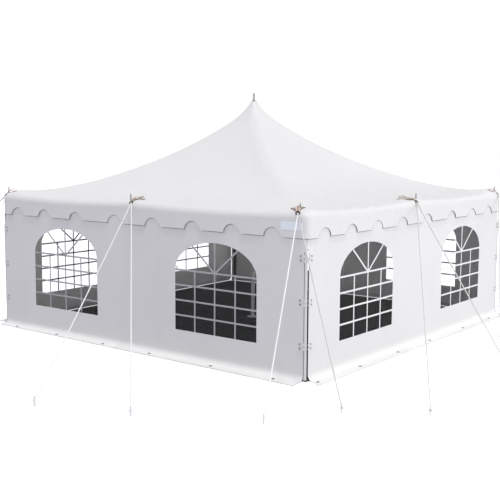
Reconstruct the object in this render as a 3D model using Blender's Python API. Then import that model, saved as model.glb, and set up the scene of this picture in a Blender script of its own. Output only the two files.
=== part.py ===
"""A square pole tent, twenty feet a side: a tensile roof, scalloped valances and window walls.

Units are metres and +Z is up. The origin is on the ground in the middle of the tent.
The front wall faces -Y, the right wall faces +X. The roof hangs between a tall centre
pole and eight side poles, and two guy ropes hold each side pole.
"""
import math

import bmesh
import bpy
from mathutils import Matrix, Vector

# Plan and heights
TENT_SIDE = 6.096
HALF = TENT_SIDE / 2
PEAK_HEIGHT = 3.735
EAVE_HEIGHT = 2.20
SPIKE_TIP_HEIGHT = 3.875
MIDLINE_X = -0.14
POLE_INSET = 0.08

# Sheets
SHEET = 0.004
GAP = 0.0003
SEAM_GAP = 0.00025
EAVE_HALF = HALF + SHEET + GAP
POLE_REACH = 1 - POLE_INSET / EAVE_HALF

# Roof form
FOLD_RADIUS = 0.06
FOLD_REACH = 1 - FOLD_RADIUS / EAVE_HALF
EAVE_SAG = 0.045
GORE_SAG = 0.06
HIP_POWER = 2.15
HIP_SHARE = 0.94
PEAK_FLARE = 0.04
PEAK_FLAT = 0.015
PEAK_HOLE = 0.0045
ROOF_ROWS = 13
ROOF_ROW_POWER = 1.8
FOLD_ROWS = 4
BAY_COLUMNS = 6

# Valance
VALANCE_BOTTOM = 1.84
VALANCE_BEND = 2.02
VALANCE_PROUD = 0.014
NOTCH_HALF_WIDTH = 0.145
NOTCH_HEIGHT = 0.122
NOTCH_STEPS = 6
LONG_NOTCHES = (-2.645, -1.985, -1.25, -0.40, 0.37, 1.13, 1.83, 2.505)
CROSS_NOTCHES = (-2.655, -1.99, -1.29, -0.55, 0.25, 1.095, 1.865, 2.54)

# Walls
WALL_TOP = 2.085
WALL_CORNER_GAP = 0.04
SKIRT_BEND = 0.05
SKIRT_BEND_STEPS = 4

# Skirts on the ground: width at the left end, width at the right end, and how far the
# skirt's outer corners stand past the wall's left and right ends
LONG_SKIRT = (0.14, 0.26, 0.0, 0.03)
CROSS_SKIRT = (0.23, 0.22, 0.10, 0.0)

# Windows
WINDOW_OFFSET = 1.525
WINDOW_HALF_WIDTH = 0.722
WINDOW_SILL = 0.398
WINDOW_SPRING = 1.262
WINDOW_ARCH_RISE = 0.42
WINDOW_ARCH_STEPS = 16
PANE = 0.002

# Poles
SIDE_POLE_RADIUS = 0.019
SIDE_PLATE_RADIUS = 0.05
SIDE_PLATE = 0.006
PIN_RADIUS = 0.009
PIN_HOLE_RADIUS = 0.0105
SHOULDER_GAP = 0.0008
PIN_LENGTH = 0.10
LEANING_CORNER = "front_right"
LEANING_PIN_X = 2.884
POLE_SIDES = 10
CENTRE_POLE_RADIUS = 0.03
CENTRE_PLATE_RADIUS = 0.10
CENTRE_PLATE = 0.008
CROWN_RADIUS = 0.038
CROWN = 0.008
CENTRE_PIN_RADIUS = 0.012
COLLAR_RADIUS = 0.027
COLLAR = 0.010
SPIKE_RADIUS = 0.014
CENTRE_SIDES = 16

# Eave fittings
STRAP = 0.003
STRAP_GAP = 0.0009
STRAP_INNER_REACH = 1 - 0.35 / EAVE_HALF
STRAP_INNER_HALF = 0.075
STRAP_OUTER_HALF = 0.027
CORNER_STRAP_START = 0.5
STUD_SPREAD = 0.020
STUD_NECK_RADIUS = 0.0032
STUD_BALL_RADIUS = 0.011
STUD_BALL_OUT = 0.021
STUD_SIDES = 12

# Guy ropes and stakes
ROPE_RADIUS = 0.007
ROPE_SIDES = 8
STAKE_RADIUS = 0.010
STAKE_HEIGHT = 0.12
STAKE_HEAD_RADIUS = 0.017
STAKE_HEAD = 0.012
HITCH_RADIUS = 0.018
HITCH_HEIGHT = 0.06
HITCH_HALF = 0.016

SIDES = ("front", "right", "back", "left")
CORNERS = ("front_right", "back_right", "back_left", "front_left")
STAKES = {
    "front": ((2.32, -5.47), (1.17, -5.89)),
    "front_right": ((4.12, -3.90), (3.66, -4.77)),
    "right": ((5.22, -1.50), (4.96, -3.36)),
    "back_right": ((4.20, 4.85), (4.02, 0.92)),
    "back": ((-2.32, 5.47), (-1.17, 5.89)),
    "back_left": ((-4.12, 3.90), (-3.66, 4.77)),
    "left": ((-5.22, 1.50), (-4.96, 3.36)),
    "front_left": ((-1.66, -4.52), (-4.85, -4.20)),
}


def clear_scene():
    """Remove every object that the file starts with."""
    for item in list(bpy.data.objects):
        bpy.data.objects.remove(item)


def make_material(name, colour, roughness, metallic=0.0, alpha=1.0):
    """Make a plain material with the part's colour and gloss."""
    material = bpy.data.materials.new(name)
    material.use_nodes = True
    shader = material.node_tree.nodes["Principled BSDF"]
    shader.inputs["Base Color"].default_value = (*colour, 1.0)
    shader.inputs["Roughness"].default_value = roughness
    shader.inputs["Metallic"].default_value = metallic
    shader.inputs["Alpha"].default_value = alpha
    return material


def add_object(name, mesh, material=None):
    """Put a mesh in the scene under a name, with its material."""
    item = bpy.data.objects.new(name, mesh)
    bpy.context.collection.objects.link(item)
    if material is not None:
        mesh.materials.clear()
        mesh.materials.append(material)
    return item


def finish_mesh(bm, name, smooth_degrees=None):
    """Weld doubles, turn the faces outward and make a mesh of them."""
    bmesh.ops.remove_doubles(bm, verts=bm.verts, dist=1e-6)
    bmesh.ops.recalc_face_normals(bm, faces=bm.faces)
    mesh = bpy.data.meshes.new(name)
    bm.to_mesh(mesh)
    bm.free()
    if smooth_degrees is not None:
        mesh.shade_smooth()
        mesh.set_sharp_from_angle(angle=math.radians(smooth_degrees))
    return mesh


def hide_cutter(item):
    """Keep a cutter out of the model and out of the render."""
    item.hide_render = True
    item.display_type = "WIRE"


def add_boolean(item, operand, operation):
    """Cut or join with another object, by the exact solver."""
    modifier = item.modifiers.new(operation.lower(), "BOOLEAN")
    modifier.operation = operation
    modifier.solver = "EXACT"
    modifier.object = operand


def turned_mesh(name, profile, sides):
    """Turn a profile of (radius, height) points, from foot to tip, into a solid."""
    bm = bmesh.new()
    points = [bm.verts.new((radius, 0.0, height)) for radius, height in profile]
    edges = [bm.edges.new(pair) for pair in zip(points, points[1:])]
    bmesh.ops.spin(
        bm, geom=points + edges, cent=(0, 0, 0), axis=(0, 0, 1),
        angle=math.tau, steps=sides, use_merge=True,
    )
    return finish_mesh(bm, name, 40)


def sheet_mesh(name, outer, inner, smooth_degrees=None):
    """Close a thick sheet from two grids of points, outer and inner, of the same size."""
    bm = bmesh.new()
    rows = len(outer)
    columns = len(outer[0])
    top = [[bm.verts.new(point) for point in row] for row in outer]
    under = [[bm.verts.new(point) for point in row] for row in inner]
    for i in range(rows - 1):
        for j in range(columns - 1):
            bm.faces.new((top[i][j], top[i][j + 1], top[i + 1][j + 1], top[i + 1][j]))
            bm.faces.new((under[i][j], under[i + 1][j], under[i + 1][j + 1], under[i][j + 1]))
    for i in range(rows - 1):
        for j in (0, columns - 1):
            bm.faces.new((top[i][j], top[i + 1][j], under[i + 1][j], under[i][j]))
    for j in range(columns - 1):
        for i in (0, rows - 1):
            bm.faces.new((top[i][j], under[i][j], under[i][j + 1], top[i][j + 1]))
    return finish_mesh(bm, name, smooth_degrees)


def prism_mesh(name, outline, direction, smooth_degrees=None):
    """Extrude a closed outline of points along a direction."""
    bm = bmesh.new()
    base = bm.faces.new([bm.verts.new(point) for point in outline])
    extruded = bmesh.ops.extrude_face_region(bm, geom=[base])
    moved = [item for item in extruded["geom"] if isinstance(item, bmesh.types.BMVert)]
    bmesh.ops.translate(bm, verts=moved, vec=direction)
    return finish_mesh(bm, name, smooth_degrees)


def side_turn(side):
    """Give the turn about +Z that carries the front wall to a side."""
    return Matrix.Rotation(math.radians(90 * SIDES.index(side)), 4, "Z")


def apex():
    """Give the roof's top in plan, where the centre pole stands."""
    return Vector((MIDLINE_X, 0.0, 0.0))


def local_apex(side):
    """Give the roof's top as a side sees it, turned to the front."""
    return side_turn(side).inverted() @ apex()


def pole_place(side):
    """Give where along its wall a side's middle pole stands, from -1 to 1."""
    return local_apex(side).x / EAVE_HALF if side in ("front", "back") else 0.0


def bay_sag(place, middle):
    """Give how far the eave hangs below the poles, in straight steps between the columns."""
    if place < middle:
        share = (place + 1) / (middle + 1)
    else:
        share = (place - middle) / (1 - middle)
    column = min(int(share * BAY_COLUMNS), BAY_COLUMNS - 1)
    near = math.sin(math.pi * column / BAY_COLUMNS)
    far = math.sin(math.pi * (column + 1) / BAY_COLUMNS)
    return EAVE_SAG * (near + (far - near) * (share * BAY_COLUMNS - column))


def slope_share(reach):
    """Give how far down the slope a reach is: 0 on the flat top under the collar, 1 at the eave."""
    return max(0.0, reach - PEAK_FLAT) / (1 - PEAK_FLAT)


def rise_share(reach):
    """Give the roof's rise over the eave, 1 at the peak and 0 at the eave."""
    down = slope_share(reach)
    slope = HIP_SHARE * (1 - down) ** HIP_POWER
    flare = (1 - HIP_SHARE) * math.exp(-down / PEAK_FLARE)
    return slope + flare


def roof_height(side, place, reach):
    """Give the height of the roof's outer face at a place along a ray from the peak."""
    height = EAVE_HEIGHT + (PEAK_HEIGHT - EAVE_HEIGHT) * rise_share(reach)
    height -= GORE_SAG * math.sin(math.pi * slope_share(reach)) * (1 - place ** 2)
    return height - bay_sag(place, pole_place(side)) * reach ** 6


def eave_point(place):
    """Give a point of the front eave in plan."""
    return Vector((place * EAVE_HALF, -EAVE_HALF, 0.0))


def fold_point(place, reach):
    """Give a point past the pole in plan: square to the eave, and on the mitre at a corner."""
    rim = eave_point(place)
    return rim * reach if abs(place) == 1 else Vector((rim.x, rim.y * reach, 0.0))


def plan_point(side, place, reach):
    """Give a roof point in plan: on a ray from the peak as far as the pole."""
    if reach >= POLE_REACH:
        return fold_point(place, reach)
    return local_apex(side).lerp(fold_point(place, POLE_REACH), reach / POLE_REACH)


def roof_ray(side, place):
    """Give a ray's outer and inner faces, from the peak over the fold to the valance.

    The points are in the side's own frame, turned to the front.
    """
    span = POLE_REACH - PEAK_FLAT
    steps = [(k / ROOF_ROWS) ** ROOF_ROW_POWER for k in range(ROOF_ROWS + 1)]
    reaches = [PEAK_HOLE] + [PEAK_FLAT + span * step for step in steps]
    reaches = sorted(reaches + [STRAP_INNER_REACH, FOLD_REACH])
    outer = []
    inner = []
    for reach in reaches:
        height = Vector((0, 0, roof_height(side, place, reach)))
        outer.append(plan_point(side, place, reach) + height)
        inner.append(outer[-1] - Vector((0, 0, SHEET)))
    centre_height = outer[-1].z - FOLD_RADIUS
    for step in range(1, FOLD_ROWS + 1):
        angle = math.pi / 2 * step / FOLD_ROWS
        for radius, face in ((FOLD_RADIUS, outer), (FOLD_RADIUS - SHEET, inner)):
            reach = 1 - (FOLD_RADIUS - radius * math.sin(angle)) / EAVE_HALF
            height = Vector((0, 0, centre_height + radius * math.cos(angle)))
            face.append(fold_point(place, reach) + height)
    return outer, inner


def bay_places(side, columns):
    """Give places along a wall, evenly spaced in each bay beside the middle pole."""
    middle = pole_place(side)
    first = [-1 + (middle + 1) * k / columns for k in range(columns)]
    second = [middle + (1 - middle) * k / columns for k in range(columns + 1)]
    return first + second


def leaning_place():
    """Give where along the front eave the leaning pole's pin comes through."""
    return LEANING_PIN_X / EAVE_HALF


def roof_places(side):
    """Give the places of a side's roof columns, with one over the leaning pole."""
    extra = [leaning_place()] if side == "front" else []
    return sorted(bay_places(side, BAY_COLUMNS) + extra)


def make_gore(side, material, pin_holes):
    """Make one side of the roof, with its fold over the eave and its pin holes."""
    outer = []
    inner = []
    for place in roof_places(side):
        ray_outer, ray_inner = roof_ray(side, place)
        if abs(place) == 1:
            shift = Vector((-math.copysign(SEAM_GAP, place), 0, 0))
            ray_outer = [point + shift for point in ray_outer]
            ray_inner = [point + shift for point in ray_inner]
        outer.append(ray_outer)
        inner.append(ray_inner)
    gore = add_object(f"roof_{side}", sheet_mesh(f"roof_{side}", outer, inner, 60), material)
    gore.matrix_world = side_turn(side)
    add_boolean(gore, pin_holes, "DIFFERENCE")
    return gore


def notch_middles(side):
    """Give where the notches of a side's scalloped edge are, along the side."""
    return LONG_NOTCHES if side in ("front", "back") else CROSS_NOTCHES


def scallop_bottom(side, across):
    """Give the height of the scalloped edge: flat tabs with a round notch between them."""
    distance = min(abs(across - middle) for middle in notch_middles(side))
    share = distance / NOTCH_HALF_WIDTH
    return VALANCE_BOTTOM + NOTCH_HEIGHT * math.sqrt(max(0.0, 1 - share ** 2))


def scallop_columns(side):
    """Give where the valance's columns stand: round each notch and at the roof's columns."""
    columns = [place * EAVE_HALF for place in roof_places(side)]
    for middle in notch_middles(side):
        for step in range(NOTCH_STEPS + 1):
            angle = math.pi * step / NOTCH_STEPS
            columns.append(middle - NOTCH_HALF_WIDTH * math.cos(angle))
    return sorted(columns)


def make_valance(side, material):
    """Make one side's scalloped valance, mitred into its neighbours at the corners."""
    outer = []
    inner = []
    fold_drop = FOLD_RADIUS + GAP
    for across in scallop_columns(side):
        bottom = scallop_bottom(side, across)
        place = across / EAVE_HALF
        top = roof_height(side, place, FOLD_REACH) - fold_drop
        is_end = abs(place) == 1
        for face, back in ((outer, 0.0), (inner, SHEET)):
            column = []
            for height, proud in ((top, 0.0), (VALANCE_BEND, 0.0), (bottom, VALANCE_PROUD)):
                out = EAVE_HALF - back + proud
                x = math.copysign(out - SEAM_GAP, place) if is_end else across
                column.append(Vector((x, -out, height)))
            face.append(column)
    mesh = sheet_mesh(f"valance_{side}", outer, inner)
    valance = add_object(f"valance_{side}", mesh, material)
    valance.matrix_world = side_turn(side)
    return valance


def arch_outline(half_width, sill, spring, rise, y):
    """Give the outline of an arched window: a rectangle under half an ellipse."""
    points = [Vector((-half_width, y, sill)), Vector((half_width, y, sill))]
    for step in range(WINDOW_ARCH_STEPS + 1):
        angle = math.pi * step / WINDOW_ARCH_STEPS
        points.append(Vector((half_width * math.cos(angle), y, spring + rise * math.sin(angle))))
    return points


def wall_profile():
    """Give the wall's section: a sheet that bends out into a skirt on the ground."""
    outer = [(-HALF, WALL_TOP)]
    inner = [(-HALF + SHEET, WALL_TOP)]
    centre_y = -HALF - SKIRT_BEND
    centre_z = SHEET + SKIRT_BEND
    for step in range(SKIRT_BEND_STEPS + 1):
        angle = math.pi / 2 * step / SKIRT_BEND_STEPS
        for radius, face in ((SKIRT_BEND, outer), (SKIRT_BEND + SHEET, inner)):
            face.append((centre_y + radius * math.cos(angle), centre_z - radius * math.sin(angle)))
    outer.append((-HALF - 2 * SKIRT_BEND, SHEET))
    inner.append((-HALF - 2 * SKIRT_BEND, 0.0))
    return outer + inner[::-1]


def make_window_holes():
    """Make the hidden cutter for a wall's two window openings, turned to the front."""
    bm = bmesh.new()
    depth = Vector((0, 4 * SHEET, 0))
    for sign in (-1, 1):
        shift = Vector((sign * WINDOW_OFFSET, 0, 0))
        outline = arch_outline(
            WINDOW_HALF_WIDTH, WINDOW_SILL, WINDOW_SPRING, WINDOW_ARCH_RISE, -HALF - SHEET,
        )
        hole = prism_mesh("window_hole", [point + shift for point in outline], depth)
        bm.from_mesh(hole)
    cutter = add_object("window_holes", finish_mesh(bm, "window_holes"))
    hide_cutter(cutter)
    return cutter


def make_wall(side, material):
    """Make one side's wall, with its two windows cut through and its skirt."""
    wall = add_object(f"wall_{side}", make_wall_mesh(side), material)
    wall.matrix_world = side_turn(side)
    holes = make_window_holes()
    holes.name = f"window_holes_{side}"
    holes.matrix_world = side_turn(side)
    add_boolean(wall, holes, "DIFFERENCE")
    return wall


def make_windows(material):
    """Make the clear panes that close the windows, each in its own wall."""
    y = -HALF + (SHEET - PANE) / 2
    outline = arch_outline(
        WINDOW_HALF_WIDTH - GAP, WINDOW_SILL + GAP, WINDOW_SPRING, WINDOW_ARCH_RISE - GAP, y,
    )
    mesh = prism_mesh("window_pane", outline, Vector((0, PANE, 0)))
    for side in SIDES:
        for hand, sign in (("left", -1), ("right", 1)):
            pane = add_object(f"window_{side}_{hand}", mesh, material)
            pane.matrix_world = side_turn(side) @ Matrix.Translation((sign * WINDOW_OFFSET, 0, 0))


def make_wall_mesh(side):
    """Make the sheet of one wall, turned to the front, and draw its skirt out to its width."""
    reach = HALF - WALL_CORNER_GAP
    outline = [Vector((-reach, y, z)) for y, z in wall_profile()]
    mesh = prism_mesh(f"wall_{side}", outline, Vector((2 * reach, 0, 0)), 30)
    skirt = LONG_SKIRT if side in ("front", "back") else CROSS_SKIRT
    for vertex in mesh.vertices:
        if vertex.co.y < -HALF - 1.5 * SKIRT_BEND:
            end = 0 if vertex.co.x < 0 else 1
            vertex.co.y = -HALF - skirt[end]
            vertex.co.x += math.copysign(skirt[2 + end], vertex.co.x)
    return mesh


def pole_sites():
    """Give each side pole's name, the pin's place in plan, its side and its place on it."""
    sites = {}
    for number, side in enumerate(SIDES):
        corner = CORNERS[number]
        corner_place = leaning_place() if corner == LEANING_CORNER else 1.0
        for name, place in ((side, pole_place(side)), (corner, corner_place)):
            point = side_turn(side) @ plan_point(side, place, POLE_REACH)
            sites[name] = (point, side, place)
    return sites


def pole_underside(side, place):
    """Give the height of the roof's inner face over a side pole."""
    return roof_height(side, place, POLE_REACH) - SHEET


def make_pin_holes(sites):
    """Make the hidden cutter for the eight pin holes in the roof and the straps."""
    bm = bmesh.new()
    for point, _, _ in sites.values():
        place = Matrix.Translation((point.x, point.y, EAVE_HEIGHT))
        bmesh.ops.create_cone(
            bm, cap_ends=True, segments=POLE_SIDES, radius1=PIN_HOLE_RADIUS,
            radius2=PIN_HOLE_RADIUS, depth=4 * POLE_INSET, matrix=place,
        )
    cutter = add_object("pin_holes", finish_mesh(bm, "pin_holes"))
    hide_cutter(cutter)
    return cutter


def make_side_poles(sites, material):
    """Make the eight side poles, each with its foot plate and the pin through the roof."""
    for name, (point, side, place) in sites.items():
        shoulder = pole_underside(side, place) - SHOULDER_GAP
        profile = [
            (0.0, 0.0), (SIDE_PLATE_RADIUS, 0.0), (SIDE_PLATE_RADIUS, SIDE_PLATE),
            (SIDE_POLE_RADIUS, SIDE_PLATE), (SIDE_POLE_RADIUS, shoulder - SIDE_POLE_RADIUS),
            (PIN_HOLE_RADIUS, shoulder), (PIN_RADIUS, shoulder),
            (PIN_RADIUS, shoulder + 0.75 * PIN_LENGTH), (0.5 * PIN_RADIUS, shoulder + PIN_LENGTH),
            (0.0, shoulder + PIN_LENGTH),
        ]
        kind = "corner_pole" if name in CORNERS else "side_pole"
        mesh = turned_mesh(f"{kind}_{name}", profile, POLE_SIDES)
        foot = point.copy()
        if name == LEANING_CORNER:
            foot.x = EAVE_HALF * POLE_REACH
            mesh.transform(Matrix.Shear("XY", 4, ((point.x - foot.x) / shoulder, 0.0)))
        pole = add_object(f"{kind}_{name}", mesh, material)
        pole.location = (foot.x, foot.y, 0.0)


def make_centre_pole(material):
    """Make the centre pole: foot plate, tube, crown under the roof, collar and spike over it."""
    crown_top = PEAK_HEIGHT - SHEET - GAP
    collar_foot = PEAK_HEIGHT + GAP
    profile = [
        (0.0, 0.0), (CENTRE_PLATE_RADIUS, 0.0), (CENTRE_PLATE_RADIUS, CENTRE_PLATE),
        (CENTRE_POLE_RADIUS, CENTRE_PLATE), (CENTRE_POLE_RADIUS, crown_top - 3 * CROWN),
        (CROWN_RADIUS, crown_top - CROWN), (CROWN_RADIUS, crown_top), (CENTRE_PIN_RADIUS, crown_top),
        (CENTRE_PIN_RADIUS, collar_foot), (COLLAR_RADIUS, collar_foot),
        (COLLAR_RADIUS, collar_foot + 0.6 * COLLAR), (SPIKE_RADIUS, collar_foot + COLLAR),
        (SPIKE_RADIUS, SPIKE_TIP_HEIGHT - SPIKE_RADIUS), (0.0, SPIKE_TIP_HEIGHT),
    ]
    pole = add_object("centre_pole", turned_mesh("centre_pole", profile, CENTRE_SIDES), material)
    pole.location = apex()


def roof_tilt(side, place, beside):
    """Give how steeply the roof rises along the eave at the pole, from one column to another."""
    here, there = (fold_point(spot, POLE_REACH) for spot in (place, beside))
    rise = roof_height(side, beside, POLE_REACH) - roof_height(side, place, POLE_REACH)
    return rise / (there.x - here.x)


def strap_sides(side, place):
    """Give the ways to a strap's left and right edge, level but over the leaning pole."""
    if side == "front" and place == leaning_place():
        columns = roof_places(side)
        left, right = (roof_tilt(side, place, columns[number]) for number in (-3, -1))
        return Vector((-1.0, 0.0, -left)).normalized(), Vector((1.0, 0.0, right)).normalized()
    out = Vector((place if abs(place) == 1 else 0.0, -1.0, 0.0)).normalized()
    across = Vector((-out.y, out.x, 0.0))
    return -across, across


def strap_faces(side, place):
    """Give a strap's outer and inner middle lines over the roof's fold.

    At a corner it starts nearer the pin and reaches further down the fold.
    """
    ray, _ = roof_ray(side, place)
    kept = ray[-FOLD_ROWS - 3:-2]
    if place != pole_place(side):
        kept = ray[-FOLD_ROWS - 3:-1]
        kept[0] = kept[0].lerp(kept[1], CORNER_STRAP_START)
    left, right = strap_sides(side, place)
    outer = []
    inner = []
    for number, point in enumerate(kept):
        before = kept[max(0, number - 1)]
        after = kept[min(len(kept) - 1, number + 1)]
        normal = (after - before).cross(right - left).normalized()
        inner.append(point + normal * STRAP_GAP)
        outer.append(point + normal * (STRAP_GAP + STRAP))
    return outer, inner


def stud_mesh(name):
    """Make a ball stud along +Z, its neck starting inside the strap."""
    neck_angle = math.asin(STUD_NECK_RADIUS / STUD_BALL_RADIUS)
    profile = [(0.0, -STRAP / 2), (STUD_NECK_RADIUS, -STRAP / 2)]
    for step in range(9):
        angle = neck_angle + (math.pi - neck_angle) * step / 8
        radius = STUD_BALL_RADIUS * math.sin(angle)
        profile.append((max(radius, 0.0), STUD_BALL_OUT - STUD_BALL_RADIUS * math.cos(angle)))
    profile[-1] = (0.0, STUD_BALL_OUT + STUD_BALL_RADIUS)
    return turned_mesh(name, profile, STUD_SIDES)


def stud_places(side, place):
    """Give the two studs' feet and the way they point, in the side's own frame."""
    outer, _ = strap_faces(side, place)
    left, right = strap_sides(side, place)
    normal = (outer[-1] - outer[-2]).cross(right - left).normalized()
    foot = (outer[-1] + outer[-2]) / 2
    return [foot + right * STUD_SPREAD, foot + left * STUD_SPREAD], normal


def make_fitting(name, side, place, material, pin_holes):
    """Make a strap over the eave at a pole, wide on the roof, with two studs for the ropes."""
    outer, inner = strap_faces(side, place)
    left, right = strap_sides(side, place)
    top = []
    under = []
    for number, (high, low) in enumerate(zip(outer, inner)):
        half = STRAP_INNER_HALF if number == 0 else STRAP_OUTER_HALF
        top.append([high + left * half, high, high + right * half])
        under.append([low + left * half, low, low + right * half])
    label = f"eave_fitting_{name}"
    fitting = add_object(label, sheet_mesh(label, top, under), material)
    fitting.matrix_world = side_turn(side)
    feet, normal = stud_places(side, place)
    for number, foot in enumerate(feet):
        stud = add_object(f"{label}_stud_{number + 1}", stud_mesh(f"{label}_stud"))
        turn = normal.to_track_quat("Z", "Y").to_matrix().to_4x4()
        stud.matrix_world = side_turn(side) @ Matrix.Translation(foot) @ turn
        hide_cutter(stud)
        add_boolean(fitting, stud, "UNION")
    add_boolean(fitting, pin_holes, "DIFFERENCE")


def stake_profile():
    """Give the stake's turned profile above ground, with the hitch of rope round it."""
    return [
        (0.0, 0.0), (STAKE_RADIUS, 0.0), (STAKE_RADIUS, HITCH_HEIGHT - HITCH_HALF),
        (HITCH_RADIUS, HITCH_HEIGHT - 0.5 * HITCH_HALF), (HITCH_RADIUS, HITCH_HEIGHT + 0.5 * HITCH_HALF),
        (STAKE_RADIUS, HITCH_HEIGHT + HITCH_HALF), (STAKE_RADIUS, STAKE_HEIGHT - STAKE_HEAD),
        (STAKE_HEAD_RADIUS, STAKE_HEIGHT - STAKE_HEAD), (STAKE_HEAD_RADIUS, STAKE_HEIGHT),
        (0.0, STAKE_HEIGHT),
    ]


def make_ropes(name, side, place, material):
    """Make a pole's two guy ropes, each one piece with its stake, from stud to ground."""
    feet, normal = stud_places(side, place)
    turn = side_turn(side)
    for number, (foot, stake) in enumerate(zip(feet, STAKES[name])):
        ball = turn @ (foot + normal * STUD_BALL_OUT)
        hitch = Vector((*stake, HITCH_HEIGHT))
        line = hitch - ball
        start = ball + line.normalized() * (STUD_BALL_RADIUS + GAP)
        middle = (start + hitch) / 2
        facing = line.to_track_quat("Z", "Y").to_matrix().to_4x4()
        bm = bmesh.new()
        bmesh.ops.create_cone(
            bm, cap_ends=True, segments=ROPE_SIDES, radius1=ROPE_RADIUS, radius2=ROPE_RADIUS,
            depth=(hitch - start).length,
        )
        label = f"guy_rope_{name}_{number + 1}"
        rope = add_object(f"{label}_line", finish_mesh(bm, f"{label}_line"))
        rope.matrix_world = Matrix.Translation(middle) @ facing
        hide_cutter(rope)
        stake_item = add_object(label, turned_mesh(label, stake_profile(), POLE_SIDES), material)
        stake_item.location = (*stake, 0.0)
        add_boolean(stake_item, rope, "UNION")


def main():
    """Build the whole tent."""
    clear_scene()
    roof_vinyl = make_material("roof_vinyl", (0.86, 0.86, 0.87), 0.45)
    wall_vinyl = make_material("wall_vinyl", (0.84, 0.84, 0.86), 0.45)
    clear_film = make_material("clear_film", (0.80, 0.82, 0.84), 0.08, alpha=0.25)
    painted_steel = make_material("painted_steel", (0.82, 0.82, 0.82), 0.35, 0.6)
    webbing = make_material("webbing", (0.60, 0.50, 0.38), 0.8)
    rope = make_material("rope", (0.85, 0.85, 0.83), 0.7)

    sites = pole_sites()
    pin_holes = make_pin_holes(sites)
    for side in SIDES:
        make_gore(side, roof_vinyl, pin_holes)
        make_valance(side, roof_vinyl)
        make_wall(side, wall_vinyl)
    make_windows(clear_film)
    make_centre_pole(painted_steel)
    make_side_poles(sites, painted_steel)
    for name, (_, side, place) in sites.items():
        make_fitting(name, side, place, webbing, pin_holes)
        make_ropes(name, side, place, rope)


main()
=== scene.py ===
"""Look scene of a square pole tent: one tensile roof sheet, window walls, straps and guy ropes.

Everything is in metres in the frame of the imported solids: the origin is on the ground in the
middle of the tent, +Z is up, the front wall faces -Y and the right wall faces +X. Each side is
worked out as if it were the front one and then turned about +Z into its place.
"""

import logging
import math
from dataclasses import dataclass, field
from enum import Enum
from typing import Any, Optional, Sequence

import bpy
import numpy as np
from mathutils import Matrix, Vector


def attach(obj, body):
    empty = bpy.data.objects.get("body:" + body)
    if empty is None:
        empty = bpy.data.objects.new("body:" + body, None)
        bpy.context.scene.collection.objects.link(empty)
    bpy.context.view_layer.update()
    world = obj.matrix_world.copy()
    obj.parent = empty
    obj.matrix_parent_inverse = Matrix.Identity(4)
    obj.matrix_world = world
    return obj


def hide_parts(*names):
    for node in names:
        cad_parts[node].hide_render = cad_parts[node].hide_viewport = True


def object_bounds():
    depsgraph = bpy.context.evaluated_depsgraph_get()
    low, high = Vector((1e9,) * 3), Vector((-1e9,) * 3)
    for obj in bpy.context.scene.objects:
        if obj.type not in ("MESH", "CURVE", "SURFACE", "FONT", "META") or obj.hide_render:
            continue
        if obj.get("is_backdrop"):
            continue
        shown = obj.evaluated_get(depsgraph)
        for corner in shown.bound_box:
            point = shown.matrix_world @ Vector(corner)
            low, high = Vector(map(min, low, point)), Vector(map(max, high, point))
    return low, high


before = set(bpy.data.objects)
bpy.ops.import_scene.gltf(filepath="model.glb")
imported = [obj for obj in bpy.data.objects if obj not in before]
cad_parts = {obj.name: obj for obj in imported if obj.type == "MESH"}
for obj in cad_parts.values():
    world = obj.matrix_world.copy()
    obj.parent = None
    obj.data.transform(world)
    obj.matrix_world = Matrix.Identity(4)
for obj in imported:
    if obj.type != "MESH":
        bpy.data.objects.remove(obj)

log = logging.getLogger("tent")
Array = np.ndarray
Material = bpy.types.Material
Pair = tuple[float, float]

# A wave node's scale for bands that lie one metre apart
WAVE_METRE = 0.31416

# The world's three ways
EAST, NORTH, UP = np.eye(3)


class Side(Enum):
    """The four sides, each with the quarter turns that bring the front side to it."""

    FRONT = 0
    RIGHT = 1
    BACK = 2
    LEFT = 3

    @property
    def label(self) -> str:
        """Give the side's name as the solids write it."""
        return self.name.lower()

    @property
    def is_long(self) -> bool:
        """Say whether the side is the front or the back."""
        return self in (Side.FRONT, Side.BACK)


class Spot(Enum):
    """The eight side poles: the name, the side that carries it and the stakes of its two ropes."""

    FRONT = ("front", Side.FRONT, ((2.32, -5.47), (1.17, -5.89)))
    FRONT_RIGHT = ("front_right", Side.FRONT, ((4.12, -3.90), (3.66, -4.77)))
    RIGHT = ("right", Side.RIGHT, ((5.22, -1.50), (4.96, -3.36)))
    BACK_RIGHT = ("back_right", Side.RIGHT, ((4.20, 4.85), (4.02, 0.92)))
    BACK = ("back", Side.BACK, ((-2.32, 5.47), (-1.17, 5.89)))
    BACK_LEFT = ("back_left", Side.BACK, ((-4.12, 3.90), (-3.66, 4.77)))
    LEFT = ("left", Side.LEFT, ((-5.22, 1.50), (-4.96, 3.36)))
    FRONT_LEFT = ("front_left", Side.LEFT, ((-1.66, -4.52), (-4.85, -4.20)))

    def __init__(self, label: str, side: Side, stakes: tuple[Pair, Pair]) -> None:
        """Give the three parts of the value their names."""
        self.label, self.side, self.stakes = label, side, stakes

    @property
    def is_corner(self) -> bool:
        """Say whether the pole stands in a corner."""
        return "_" in self.label


class FanSize(Enum):
    """How a fan of straps lies, by its kind of place.

    The values are half its angle in degrees, its bow off the roof, its length, and how far along
    the eave its ring hangs from the pin.
    """

    CORNER = (27.0, 0.030, 0.20, -0.02)
    LONG_SIDE = (30.0, 0.015, 0.25, 0.065)
    CROSS_SIDE = (30.0, 0.015, 0.30, -0.085)

    def __init__(self, spread: float, bowing: float, length: float, shift: float) -> None:
        """Give the four parts of the value their names."""
        self.spread, self.bowing, self.length, self.shift = spread, bowing, length, shift


# Arrays of points


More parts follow.
